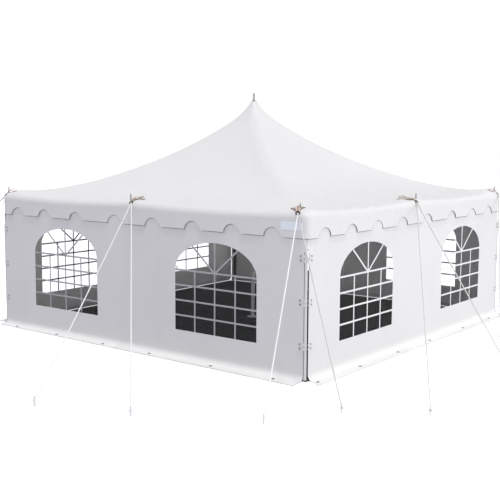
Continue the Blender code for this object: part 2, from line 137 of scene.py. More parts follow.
def turn(points: Array, quarters: int) -> Array:
    """Turn points about +Z by quarter turns.

    Args:
        points: an array whose last axis is x, y, z.
        quarters: how many quarter turns, counterclockwise.

    Returns:
        The turned points.
    """
    cosine, sine = ((1, 0), (0, 1), (-1, 0), (0, -1))[quarters % 4]
    x, y, z = points[..., 0], points[..., 1], points[..., 2]
    return np.stack([cosine * x - sine * y, sine * x + cosine * y, z], axis=-1)


def stack(*parts: Any) -> Array:
    """Spread numbers and arrays to one shape and stack them on a new last axis."""
    return np.stack(np.broadcast_arrays(*parts), axis=-1)


def unit(ways: Array) -> Array:
    """Scale ways to length 1 along their last axis."""
    return ways / np.linalg.norm(ways, axis=-1, keepdims=True)


def left_of(way: Array) -> Array:
    """Give the level way that is a quarter turn to the left of another."""
    return np.array([-way[1], way[0]])


def full_turn(count: int) -> Array:
    """Give even angles round a full turn."""
    return np.linspace(0, 2 * np.pi, count, endpoint=False)


def walked(points: Array) -> Array:
    """Give the distance walked from the first point along the first axis."""
    steps = np.linalg.norm(np.diff(points, axis=0), axis=-1)
    return np.concatenate([0 * steps[:1], np.cumsum(steps, axis=0)])


def on_line(start: Sequence[float], end: Sequence[float], count: int) -> Array:
    """Give evenly spaced points of a straight line."""
    share = np.linspace(0, 1, count)[:, None]
    return np.asarray(start, float) * (1 - share) + np.asarray(end, float) * share


def loop(centre: Array, one: Array, two: Array, count: int) -> Array:
    """Give points round a centre, cos * one + sin * two away from it."""
    angle = full_turn(count)[:, None]
    return centre + np.cos(angle) * one + np.sin(angle) * two


def circle(radius: float, sides: int, flat: float = 1.0) -> Array:
    """Give a round section, with its height scaled by flat."""
    angle = full_turn(sides)
    return np.stack([radius * np.cos(angle), flat * radius * np.sin(angle)], axis=-1)


def band(width: float, thick: float) -> Array:
    """Give the section of a flat band whose corners are cut off by 0.3 and 0.4 of its thickness.

    Args:
        width: how wide the band is.
        thick: how thick it is; its underside is at height 0.

    Returns:
        Six points, counterclockwise.
    """
    wide, low = width / 2, 0.3 * thick
    flat = wide - 0.4 * thick
    return np.array([(-wide, low), (-flat, 0), (flat, 0), (wide, low), (flat, thick), (-flat, thick)])


# Shells


@dataclass
class Shell:
    """A mesh in the making: points, faces and, where a pattern follows it, UV in metres."""

    points: Array
    faces: list[list[int]]
    uv: Optional[Array] = None

    def turned(self, side: Side) -> "Shell":
        """Give the shell turned from the front to a side."""
        return Shell(turn(self.points, side.value), self.faces, self.uv)


def grid(points: Array, wrap: bool = False, uv: Optional[Array] = None,
         keep: Optional[Array] = None) -> Shell:
    """Make faces between neighbours of a grid of points.

    Face (i, j) joins the points (i, j), (i, j+1), (i+1, j+1) and (i+1, j).

    Args:
        points: rows by columns by 3.
        wrap: whether the last column joins the first.
        uv: rows by columns (one more column if wrapped) by 2.
        keep: rows-1 by columns-1 truth values; false leaves a hole.

    Returns:
        The shell.
    """
    rows, columns = points.shape[:2]
    count = columns if wrap else columns - 1
    i, j = np.meshgrid(np.arange(rows - 1), np.arange(count), indexing="ij")
    here, right = i * columns + j, i * columns + (j + 1) % columns
    faces = np.stack([here, right, right + columns, here + columns], axis=-1).reshape(-1, 4)
    corner = None
    if uv is not None:
        corner = np.stack([uv[i, j], uv[i, j + 1], uv[i + 1, j + 1], uv[i + 1, j]], axis=2)
        corner = corner.reshape(-1, 4, 2)
    if keep is not None:
        chosen = keep.reshape(-1)
        faces = faces[chosen]
        corner = None if corner is None else corner[chosen]
    return Shell(points.reshape(-1, 3), faces.tolist(), None if corner is None else corner.reshape(-1, 2))


def sweep(path: Array, section: Array, up: Sequence[float] = (0, 0, 1), closed: bool = False,
          twist: Optional[Array] = None, scale: Optional[Array] = None) -> Shell:
    """Carry a closed section along a path.

    Each ring is path + across * section x + normal * section y, where across is tangent x up and
    normal is across x tangent; twist turns the ring about the tangent.

    Args:
        path: N by 3 points.
        section: M by 2 points, counterclockwise.
        up: the way the section's y leans, never along the path, or N by 3 ways.
        closed: whether the path's end joins its start.
        twist: N angles in radians.
        scale: N sizes of the ring.

    Returns:
        A closed tube, with end faces unless the path is closed.
    """
    path = np.asarray(path, float)
    if closed:
        tangent = unit(np.roll(path, -1, axis=0) - np.roll(path, 1, axis=0))
    else:
        tangent = unit(np.gradient(path, axis=0))
    across = unit(np.cross(tangent, np.asarray(up, float)))
    normal = np.cross(across, tangent)
    angle = np.zeros(len(path)) if twist is None else twist
    size = np.ones(len(path)) if scale is None else scale
    cosine, sine = np.cos(angle)[:, None], np.sin(angle)[:, None]
    side_part = section[None, :, 0] * cosine - section[None, :, 1] * sine
    up_part = section[None, :, 0] * sine + section[None, :, 1] * cosine
    ring = path[:, None] + size[:, None, None] * (
        side_part[..., None] * across[:, None] + up_part[..., None] * normal[:, None])
    count, around = ring.shape[:2]
    length = walked(path)
    girth = np.linspace(0, 1, around + 1) * np.linalg.norm(np.roll(section, -1, 0) - section, axis=1).sum()
    if closed:
        ring = np.concatenate([ring, ring[:1]])
        length = np.append(length, length[-1] + np.linalg.norm(path[0] - path[-1]))
    shell = grid(ring, wrap=True, uv=stack(girth[None, :], length[:, None]))
    if closed:
        shell.faces = (np.asarray(shell.faces) % (count * around)).tolist()
        shell.points = shell.points[: count * around]
        return shell
    return capped(shell, around, list(range(around))[::-1])


def capped(shell: Shell, around: int, first: list[int]) -> Shell:
    """Close a tube with a face over each end.

    Args:
        shell: the open tube, ring by ring.
        around: how many points a ring has.
        first: the first end's face; the last one's runs the other way round.

    Returns:
        The same shell, closed.
    """
    last = len(shell.points) - around
    shell.faces += [first, [last + index for index in first[::-1]]]
    shell.uv = np.concatenate([shell.uv, np.zeros((2 * around, 2))])
    return shell


def lathe(profile: Sequence[Pair], sides: int, centre: Sequence[float]) -> Shell:
    """Turn a profile of (radius, height) points, tip to foot, about a vertical axis.

    Args:
        profile: M by 2, from the top of the axis round the outside to its foot.
        sides: how many faces go round.
        centre: where the axis meets height 0.

    Returns:
        A closed shell.
    """
    angle = full_turn(sides)
    radius, height = np.asarray(profile, float)[1:-1].T[..., None]
    ring = stack(radius * np.cos(angle), radius * np.sin(angle), height)
    shell = grid(ring, wrap=True, uv=np.zeros((len(ring), sides + 1, 2)))
    shell.points = shell.points + np.asarray(centre, float)
    return capped(shell, sides, list(range(sides)))


def strip(path: Array, width: float, facing: Sequence[float]) -> Shell:
    """Lay a flat band along a path, facing one way.

    Args:
        path: N by 3 points.
        width: how wide the band is.
        facing: the way that its outer face looks.

    Returns:
        An open shell, two points across.
    """
    tangent = np.gradient(path, axis=0)
    across = unit(np.cross(tangent, np.asarray(facing, float))) * width / 2
    points = np.stack([path - across, path + across], axis=1)
    return grid(points, uv=stack(np.array([[0.0, width]]), walked(path)[:, None]))


def join(shells: Sequence[Shell]) -> Shell:
    """Put several shells into one, each keeping its own faces and UV.

    Args:
        shells: the shells.

    Returns:
        One shell, with UV where all of them have it.
    """
    starts = np.cumsum([0] + [len(shell.points) for shell in shells])
    faces = [[index + start for index in face]
             for shell, start in zip(shells, starts) for face in shell.faces]
    has_uv = all(shell.uv is not None for shell in shells)
    uv = np.concatenate([shell.uv for shell in shells]) if has_uv else None
    return Shell(np.concatenate([shell.points for shell in shells]), faces, uv)


def flat_area(shell: Shell) -> float:
    """Give the area of a shell of four-sided faces: half the cross product of the diagonals.

    Args:
        shell: the shell.

    Returns:
        Square metres.
    """
    corners = shell.points[np.asarray(shell.faces)]
    cross = np.cross(corners[:, 2] - corners[:, 0], corners[:, 3] - corners[:, 1])
    return float(np.linalg.norm(cross, axis=1).sum() / 2)


# Objects


def add_object(name: str, data: Any) -> bpy.types.Object:
    """Put a mesh, a light or a camera in the scene.

    Args:
        name: the object's name.
        data: what it shows.

    Returns:
        The object.
    """
    item = bpy.data.objects.new(name, data)
    bpy.context.collection.objects.link(item)
    return item


def mark_rims(mesh: bpy.types.Mesh) -> None:
    """Keep a sheet's open edges sharp, so that its faces shade flat up to its rims.

    Args:
        mesh: the sheet; an edge that one face corner uses is open.
    """
    used = np.empty(len(mesh.loops), np.int32)
    mesh.loops.foreach_get("edge_index", used)
    sharp = np.empty(len(mesh.edges), bool)
    mesh.edges.foreach_get("use_edge_sharp", sharp)
    sharp |= np.bincount(used, minlength=len(mesh.edges)) == 1
    mesh.edges.foreach_set("use_edge_sharp", sharp)


def make_piece(name: str, shell: Shell, finishes: Sequence[Material],
               nodes: Sequence[str] = (), smooth: float = 40.0, thick: float = 0.0) -> bpy.types.Object:
    """Put a shell in the scene as a finished piece that rides with the tent.

    Args:
        name: the piece's name.
        shell: its points and faces, outward.
        finishes: its material, and for a thick sheet that of its inner face.
        nodes: the solids that it stands for.
        smooth: edges sharper than this many degrees stay sharp.
        thick: a sheet's thickness, grown inward; 0 for a closed shell.

    Returns:
        The object.
    """
    mesh = bpy.data.meshes.new(name)
    mesh.from_pydata(shell.points, [], shell.faces)
    if shell.uv is not None:
        layer = mesh.uv_layers.new(name="cut")
        layer.data.foreach_set("uv", shell.uv.astype(np.float32).ravel())
    mesh.shade_smooth()
    mesh.set_sharp_from_angle(angle=math.radians(smooth))
    for finish in finishes:
        mesh.materials.append(finish)
    piece = add_object(name, mesh)
    if thick > 0:
        mark_rims(mesh)
        solid = piece.modifiers.new("thickness", "SOLIDIFY")
        solid.thickness = thick
        solid.offset = -1
        solid.material_offset = len(finishes) - 1
    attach(piece, "root")
    if nodes:
        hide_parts(*nodes)
    log.info("%s: %d faces%s", name, len(shell.faces), f", for {', '.join(nodes)}" if nodes else "")
    return piece


# Finishes


def linear(code: str) -> tuple[float, float, float, float]:
    """Turn an sRGB hex colour into linear light with alpha 1."""
    parts = [int(code[k:k + 2], 16) / 255 for k in (1, 3, 5)]
    return (*(c / 12.92 if c <= 0.04045 else ((c + 0.055) / 1.055) ** 2.4 for c in parts), 1.0)


def add_node(tree: bpy.types.NodeTree, kind: str, settings: Optional[dict[Any, Any]] = None,
             links: Optional[dict[Any, Any]] = None) -> bpy.types.Node:
    """Add a node, set its properties and sockets, and link its inputs.

    Args:
        tree: the material's node tree.
        kind: the node's type name.
        settings: property names or input names (or numbers) to values.
        links: input names or numbers to output sockets.

    Returns:
        The node.
    """
    node = tree.nodes.new(kind)
    for key, value in (settings or {}).items():
        if isinstance(key, str) and hasattr(node, key):
            setattr(node, key, value)
        else:
            node.inputs[key].default_value = value
    for key, socket in (links or {}).items():
        tree.links.new(socket, node.inputs[key])
    return node


@dataclass(frozen=True)
class Finish:
    """What every finish has: a real material's name, colour and gloss."""

    name: str
    colour: str
    roughness: float = 0.5
    metallic: float = 0.0
    specular: float = 0.5
    sheen: float = 0.0
    alpha: float = 1.0

    def start(self) -> tuple[Material, bpy.types.NodeTree, bpy.types.Node, bpy.types.Node]:
        """Make the material with its shader's plain numbers set on the shader itself.

        Returns:
            The material, its tree, its shader and its coordinates.
        """
        material = bpy.data.materials.new(self.name)
        material.use_nodes = True
        tree = material.node_tree
        shader = tree.nodes["Principled BSDF"]
        shader.inputs["Base Color"].default_value = linear(self.colour)
        shader.inputs["Roughness"].default_value = self.roughness
        shader.inputs["Metallic"].default_value = self.metallic
        if self.metallic == 0:
            shader.inputs["Specular IOR Level"].default_value = self.specular
        shader.inputs["Sheen Weight"].default_value = self.sheen
        shader.inputs["Alpha"].default_value = self.alpha
        return material, tree, shader, add_node(tree, "ShaderNodeTexCoord")

    def tint(self, tree: bpy.types.NodeTree, shader: bpy.types.Node, factor: Any, other: str,
             amount: float) -> None:
        """Mix the base colour, or what is linked to it, towards another by a factor.

        Args:
            tree: the material's tree.
            shader: its shader.
            factor: the socket that says how much, from 0 to 1.
            other: the other colour, as hex.
            amount: the largest share of the other colour.
        """
        share = add_node(tree, "ShaderNodeMath", {"operation": "MULTIPLY", 1: amount}, {0: factor})
        mix = add_node(tree, "ShaderNodeMixRGB", {"Color2": linear(other)}, {"Fac": share.outputs[0]})
        base = shader.inputs["Base Color"]
        if base.links:
            tree.links.new(base.links[0].from_socket, mix.inputs["Color1"])
        else:
            mix.inputs["Color1"].default_value = base.default_value
        tree.links.new(mix.outputs[0], base)


@dataclass(frozen=True)
class CoatedVinyl(Finish):
    """PVC-coated polyester, calendered: satin, with a faint scrim, welds and soft puckers.

    The stains are counted per metre, and the other sizes are in metres. Skirt and drop are the
    colours that it turns to from the first height of their span to the second, where they're given:
    the skirt's is painted light, a whiter foot on the ground, and the drop's is painted shade, a
    darker valance under the fold.
    """

    soil: str = "#b4b3b0"
    stain: float = 0.07
    stain_count: float = 0.9
    stain_span: Pair = (0.4, 0.68)
    pucker: float = 0.0022
    pucker_size: float = 0.30
    scrim: float = 0.004
    scrim_deep: float = 0.0001
    weld_pitch: float = 1.52
    weld_width: float = 0.04
    weld_edge: float = 0.003
    weld_tall: float = 0.0006
    weld_soil: float = 0.035
    # painted light: the whiter colour of the skirt lying on the ground
    skirt: str = ""
    skirt_light_span: Pair = (0.10, 0.01)
    # painted shade: the darker colour of the valance under the fold
    drop: str = ""
    drop_shade_span: Pair = (2.18, 2.08)
    gloss_span: Pair = (-0.06, 0.08)

    def build(self) -> Material:
        """Make the material; the scrim is drawn at 4 mm because its real 1 mm can't show.

        Returns:
            The material.
        """
        material, tree, shader, coords = self.start()
        place, cut = coords.outputs["Object"], coords.outputs["UV"]
        cloud = add_node(tree, "ShaderNodeTexNoise",
                         {"Scale": self.stain_count, "Detail": 3.0, "Roughness": 0.55}, {"Vector": place})
        shade = add_node(tree, "ShaderNodeMapRange",
                         {"From Min": self.stain_span[0], "From Max": self.stain_span[1]},
                         {"Value": cloud.outputs["Fac"]})
        self.tint(tree, shader, shade.outputs[0], self.soil, self.stain)
        # painted light on the skirt and painted shade on the valance, each faded in by height
        for colour, (begin, end) in ((self.skirt, self.skirt_light_span), (self.drop, self.drop_shade_span)):
            if colour:
                height = add_node(tree, "ShaderNodeSeparateXYZ", {}, {0: place})
                under = add_node(tree, "ShaderNodeMapRange", {"From Min": begin, "From Max": end},
                                 {"Value": height.outputs["Z"]})
                self.tint(tree, shader, under.outputs[0], colour, 1.0)
        parts = add_node(tree, "ShaderNodeSeparateXYZ", {}, {0: cut})
        half_pitch, half_width = self.weld_pitch / 2, self.weld_width / 2
        shifted = add_node(tree, "ShaderNodeMath", {"operation": "ADD", 1: half_pitch},
                           {0: parts.outputs["X"]})
        away = add_node(tree, "ShaderNodeMath", {"operation": "PINGPONG", 1: half_pitch},
                        {0: shifted.outputs[0]})
        weld = add_node(tree, "ShaderNodeMapRange",
                        {"From Min": half_width + self.weld_edge, "From Max": half_width},
                        {"Value": away.outputs[0]})
        self.tint(tree, shader, weld.outputs[0], self.soil, self.weld_soil)
        yarns = {"wave_type": "BANDS", "Scale": WAVE_METRE / self.scrim}
        warp, weft = (add_node(tree, "ShaderNodeTexWave", {**yarns, "bands_direction": way}, {"Vector": cut})
                      for way in "XY")
        cloth = add_node(tree, "ShaderNodeMath", {"operation": "MAXIMUM"},
                         {0: warp.outputs["Fac"], 1: weft.outputs["Fac"]})
        scrim = add_node(tree, "ShaderNodeBump", {"Strength": 0.35, "Distance": self.scrim_deep},
                         {"Height": cloth.outputs[0]})
        lap = add_node(tree, "ShaderNodeBump", {"Strength": 0.6, "Distance": self.weld_tall},
                       {"Height": weld.outputs[0], "Normal": scrim.outputs[0]})
        soft = add_node(tree, "ShaderNodeTexNoise",
                        {"Scale": 1 / self.pucker_size, "Detail": 2.0, "Roughness": 0.45}, {"Vector": place})
        pucker = add_node(tree, "ShaderNodeBump", {"Strength": 1.0, "Distance": self.pucker},
                          {"Height": soft.outputs["Fac"], "Normal": lap.outputs[0]})
        tree.links.new(pucker.outputs[0], shader.inputs["Normal"])
        glossy, dull = (self.roughness + part for part in self.gloss_span)
        gloss = add_node(tree, "ShaderNodeMapRange", {"To Min": glossy, "To Max": dull},
                         {"Value": cloud.outputs["Fac"]})
        tree.links.new(gloss.outputs[0], shader.inputs["Roughness"])
        return material


@dataclass(frozen=True)
class ClearFilm(Finish):
    """Clear pressed PVC film: almost nothing but a soft gloss, with a slow ripple in metres."""

    ripple: float = 0.0012
    ripple_size: float = 0.25

    def build(self) -> Material:
        """Make the material.

        Returns:
            The material.
        """
        material, tree, shader, coords = self.start()
        soft = add_node(tree, "ShaderNodeTexNoise", {"Scale": 1 / self.ripple_size, "Detail": 1.0},
                        {"Vector": coords.outputs["Object"]})
        bump = add_node(tree, "ShaderNodeBump", {"Strength": 0.5, "Distance": self.ripple},
                        {"Height": soft.outputs["Fac"]})
        tree.links.new(bump.outputs[0], shader.inputs["Normal"])
        return material


@dataclass(frozen=True)
class Metal(Finish):
    """Steel, galvanised, painted or blackened: a fine grain and duller worn patches.

    Over a height, bare_from, it may be bare of its coat; the wear's patches are counted per metre.
    """

    grain: float = 0.012
    worn: str = "#6d6c69"
    wear: float = 0.25
    wear_count: float = 9.0
    wear_span: Pair = (0.52, 0.66)
    wear_deep: float = 0.0002
    bare: str = ""
    bare_from: float = 0.0
    bare_edge: float = 0.004
    gloss_span: Pair = (-0.08, 0.12)

    def build(self) -> Material:
        """Make the material; the spangle is drawn at the grain's size.

        Returns:
            The material.
        """
        material, tree, shader, coords = self.start()
        place = coords.outputs["Object"]
        spangle = add_node(tree, "ShaderNodeTexVoronoi", {"Scale": 1 / self.grain}, {"Vector": place})
        cloud = add_node(tree, "ShaderNodeTexNoise", {"Scale": self.wear_count, "Detail": 5.0},
                         {"Vector": place})
        patch = add_node(tree, "ShaderNodeMapRange",
                         {"From Min": self.wear_span[0], "From Max": self.wear_span[1]},
                         {"Value": cloud.outputs["Fac"]})
        self.tint(tree, shader, patch.outputs[0], self.worn, self.wear)
        if self.bare:
            height = add_node(tree, "ShaderNodeSeparateXYZ", {}, {0: place})
            over = add_node(tree, "ShaderNodeMapRange",
                            {"From Min": self.bare_from, "From Max": self.bare_from + self.bare_edge},
                            {"Value": height.outputs["Z"]})
            self.tint(tree, shader, over.outputs[0], self.bare, 1.0)
        glossy, dull = (self.roughness + part for part in self.gloss_span)
        gloss = add_node(tree, "ShaderNodeMapRange", {"To Min": glossy, "To Max": dull},
                         {"Value": spangle.outputs["Distance"]})
        tree.links.new(gloss.outputs[0], shader.inputs["Roughness"])
        bump = add_node(tree, "ShaderNodeBump", {"Strength": 0.25, "Distance": self.wear_deep},
                        {"Height": cloud.outputs["Fac"]})
        tree.links.new(bump.outputs[0], shader.inputs["Normal"])
        return material


@dataclass(frozen=True)
class Woven(Finish):
    """Woven webbing or laid rope: cross ribs with painted shade in their grooves, sheen, and yarns of two
    shades. Sizes in metres.
    """

    rib: float = 0.003
    rib_tall: float = 0.0006
    yarn: float = 0.00625
    second: str = "#8d8672"
    shadow: float = 0.35

    def build(self) -> Material:
        """Make the material, its ribs along the piece's own length.

        Returns:
            The material.
        """
        material, tree, shader, coords = self.start()
        ribs = add_node(tree, "ShaderNodeTexWave",
                        {"wave_type": "BANDS", "bands_direction": "DIAGONAL", "Scale": WAVE_METRE / self.rib,
                         "Distortion": 0.6}, {"Vector": coords.outputs["UV"]})
        yarn = add_node(tree, "ShaderNodeTexNoise", {"Scale": 1 / self.yarn, "Detail": 3.0},
                        {"Vector": coords.outputs["Object"]})
        # painted shade in the ribs' grooves, and a random tone of the yarns
        self.tint(tree, shader, ribs.outputs["Fac"], self.second, self.shadow)
        self.tint(tree, shader, yarn.outputs["Fac"], self.second, 0.5 * self.shadow)
        bump = add_node(tree, "ShaderNodeBump", {"Strength": 0.6, "Distance": self.rib_tall},
                        {"Height": ribs.outputs["Fac"]})
        tree.links.new(bump.outputs[0], shader.inputs["Normal"])
        return material


@dataclass(frozen=True)
class HemTape(Finish):
    """Folded hem tape with a painted shade line: dark where the piece's own UV says so, for the shade at the
    edge it runs along.

    Its threads are counted per metre.
    """

    # painted shade: the colour of the dark line
    seam: str = "#3c3c40"
    weave_count: float = 300.0
    weave_tall: float = 0.0003

    def build(self) -> Material:
        """Make the material: UV x is the strength of the painted shade line, from 0 to 1.

        Returns:
            The material.
        """
        material, tree, shader, coords = self.start()
        parts = add_node(tree, "ShaderNodeSeparateXYZ", {}, {0: coords.outputs["UV"]})
        # painted shade: the dark line, as strong as UV x says
        self.tint(tree, shader, parts.outputs["X"], self.seam, 1.0)
        fine = add_node(tree, "ShaderNodeTexNoise", {"Scale": self.weave_count, "Detail": 2.0},
                        {"Vector": coords.outputs["Object"]})
        bump = add_node(tree, "ShaderNodeBump", {"Strength": 0.4, "Distance": self.weave_tall},
                        {"Height": fine.outputs["Fac"]})
        tree.links.new(bump.outputs[0], shader.inputs["Normal"])
        return material


@dataclass(frozen=True)
class StudioFloor(Finish):
    """Matt white studio floor, seen a little brighter than it lights, with painted shade that makes it dark
    under the tent.

    The dark square reaches half a side from the middle; towards the right the floor turns whiter as painted
    light, a lit floor that throws more light on the right wall.
    Its mottling is counted per metre.
    """

    inside: str = "#363634"
    mottle: str = "#1a1a19"
    mottle_share: float = 0.7
    mottle_count: float = 14.0
    bright: str = "#f6f6f9"
    painted_light_share: float = 0.6
    painted_light_span: Pair = (2.2, 4.2)
    half: float = 3.06
    edge: float = 0.02
    glow: float = 0.5

    def build(self) -> Material:
        """Make the material: the painted shade's darker square is the larger of |x| and |y| against its half
        side.

        Returns:
            The material.
        """
        material, tree, shader, coords = self.start()
        place = coords.outputs["Object"]
        parts = add_node(tree, "ShaderNodeSeparateXYZ", {}, {0: place})
        x, y = (add_node(tree, "ShaderNodeMath", {"operation": "ABSOLUTE"}, {0: parts.outputs[axis]})
                for axis in "XY")
        far = add_node(tree, "ShaderNodeMath", {"operation": "MAXIMUM"}, {0: x.outputs[0], 1: y.outputs[0]})
        under = add_node(tree, "ShaderNodeMapRange",
                         {"From Min": self.half, "From Max": self.half - self.edge},
                         {"Value": far.outputs[0]})
        # painted light: the floor turns whiter towards the right
        right = add_node(tree, "ShaderNodeMapRange",
                         {"From Min": self.painted_light_span[0], "From Max": self.painted_light_span[1]},
                         {"Value": parts.outputs["X"]})
        self.tint(tree, shader, right.outputs[0], self.bright, self.painted_light_share)
        # painted shade: the floor under the tent is dark, and mottled darker still
        self.tint(tree, shader, under.outputs[0], self.inside, 1.0)
        spots = add_node(tree, "ShaderNodeTexNoise", {"Scale": self.mottle_count, "Detail": 6.0},
                         {"Vector": place})
        both = add_node(tree, "ShaderNodeMath", {"operation": "MULTIPLY"},
                        {0: under.outputs[0], 1: spots.outputs["Fac"]})
        self.tint(tree, shader, both.outputs[0], self.mottle, self.mottle_share)
        seen = add_node(tree, "ShaderNodeLightPath")
        outside = add_node(tree, "ShaderNodeMath", {"operation": "SUBTRACT", 0: 1.0}, {1: under.outputs[0]})
        glow = add_node(tree, "ShaderNodeMath", {"operation": "MULTIPLY"},
                        {0: outside.outputs[0], 1: seen.outputs["Is Camera Ray"]})
        level = add_node(tree, "ShaderNodeMath", {"operation": "MULTIPLY", 1: self.glow},
                         {0: glow.outputs[0]})
        tree.links.new(level.outputs[0], shader.inputs["Emission Strength"])
        shader.inputs["Emission Color"].default_value = (1, 1, 1, 1)
        return material


def made(finish: Any) -> Any:
    """Give a field that holds a finish's material, built when the finishes are made."""
    return field(default_factory=finish.build)


def webbing(shade: str, colour: str, second: str) -> Any:
    """Give a field for polyester webbing of one shade, with yarns of a second one."""
    return made(Woven(f"polyester_webbing_{shade}", colour, 0.75, sheen=0.25, second=second))


@dataclass
class Finishes:
    """All the finishes of the tent and its studio, each made once."""

    # coated roof vinyl: near white, satin, soft puckers, with painted shade that makes the valance a little
    # darker
    roof: Material = made(CoatedVinyl("pvc_roof_vinyl", "#e0e0e0", 0.45, specular=0.35, drop="#dcdcdc"))
    # coated wall vinyl: the same cloth, in longer puckers, with painted light that makes the skirt on the
    # ground slightly whiter
    wall: Material = made(CoatedVinyl("pvc_wall_vinyl", "#dddddd", 0.45, specular=0.35, pucker=0.0030,
                                      pucker_size=0.45, skirt="#e6e6e6"))
    # the uncoated back of the vinyl, matt
    lining: Material = made(CoatedVinyl("pvc_vinyl_back", "#f2f2f0", 0.65, specular=0.2, pucker=0.0026))
    # folded hem tape: vinyl grey with a painted shade line
    binding: Material = made(HemTape("pvc_hem_tape_painted_shade_line", "#d2d2d4", 0.55))
    # clear PVC: light passes, with a thin gloss
    film: Material = made(ClearFilm("clear_pvc_film", "#f2f5f6", 0.10, specular=0.35, alpha=0.014))
    # window bars of grey vinyl on the front and back, satin
    grey_bars: Material = made(CoatedVinyl("grey_pvc_bars", "#a9a9ab", 0.5, specular=0.3, pucker=0.0005,
                                           pucker_size=0.08))
    # window bars of white vinyl on the two sides, satin
    white_bars: Material = made(CoatedVinyl("white_pvc_bars", "#e6e6e6", 0.5, specular=0.3, pucker=0.0005,
                                            pucker_size=0.08))
    # the bars' welded backs: painted shade, darker and matt, as the bars look from within the tent
    bar_inner_painted_shade: Material = made(CoatedVinyl("pvc_bar_inner_painted_shade", "#8c8c8c", 0.7, specular=0.2, pucker=0.0005,
                                          pucker_size=0.08))
    # the corner flaps' backs: painted shade, dark and matt, for the dark gap at each corner
    flap_inner_painted_shade: Material = made(CoatedVinyl("pvc_flap_inner_painted_shade", "#2a2a2a", 0.8, specular=0.1))
    # powder-coated steel tube: pale and smooth, with a bare steel pin
    pole: Material = made(Metal("coated_pole_with_steel_pin", "#f4f4f4", 0.38, worn="#bdbcb8", wear=0.3,
                                bare="#8b8884", bare_from=2.19))
    # the same tube for the centre pole, whose spike over the roof is bare and paler
    centre: Material = made(Metal("coated_pole_with_steel_spike", "#f4f4f4", 0.38, worn="#bdbcb8", wear=0.3,
                                  bare="#a09e9b", bare_from=3.70))
    # white-coated steel of the stakes' heads
    stake: Material = made(Metal("white_coated_steel", "#f0f0f0", 0.45, worn="#d8d8d6"))
    # blackened steel of the rings and the peak plate
    black_steel: Material = made(Metal("blackened_steel", "#1f1c1a", 0.45, metallic=0.4, worn="#4a4038",
                                       wear=0.4))
    # nickel-plated brass eyelets, dulled
    eyelet: Material = made(Metal("plated_brass_eyelet", "#6e6a66", 0.35, metallic=0.9, worn="#4c4844"))
    # polyester webbing in the tans of the straps: matt, ribbed with painted shade in the grooves, with a
    # soft sheen
    sand: Material = webbing("sand", "#ebe1d0", "#c9bca6")
    rose: Material = webbing("rose", "#dfccc0", "#b9a294")
    brown: Material = webbing("brown", "#a98e7e", "#80685a")
    # three-strand polypropylene rope: bright, with painted shade, a little grey between the strands
    rope: Material = made(Woven("polypropylene_rope", "#fafafa", 0.6, sheen=0.3, rib=0.008, second="#d9d9d8",
                                shadow=0.25))
    # the same rope with painted shade: greyed, for the ropes out to the two sides
    painted_shade_rope: Material = made(Woven("greyed_polypropylene_rope", "#dcdcdb", 0.65, sheen=0.1, rib=0.008,
                                     second="#b4b4b2", shadow=0.3))
    # braided tie cord, off-white
    cord: Material = made(Woven("braided_tie_cord", "#ecebe8", 0.65, sheen=0.2, rib=0.002, second="#b9b7b0"))
    # a blank woven patch, very pale blue
    label: Material = made(Woven("blank_woven_patch", "#e9eff6", 0.7, rib=0.002, second="#d6e0eb",
                                 shadow=0.25))
    # matt white paint, with painted shade under the tent and painted light towards the right
    floor: Material = made(StudioFloor("matt_white_floor", "#d2d2d8", 0.9, specular=0.1))


# The tent's form


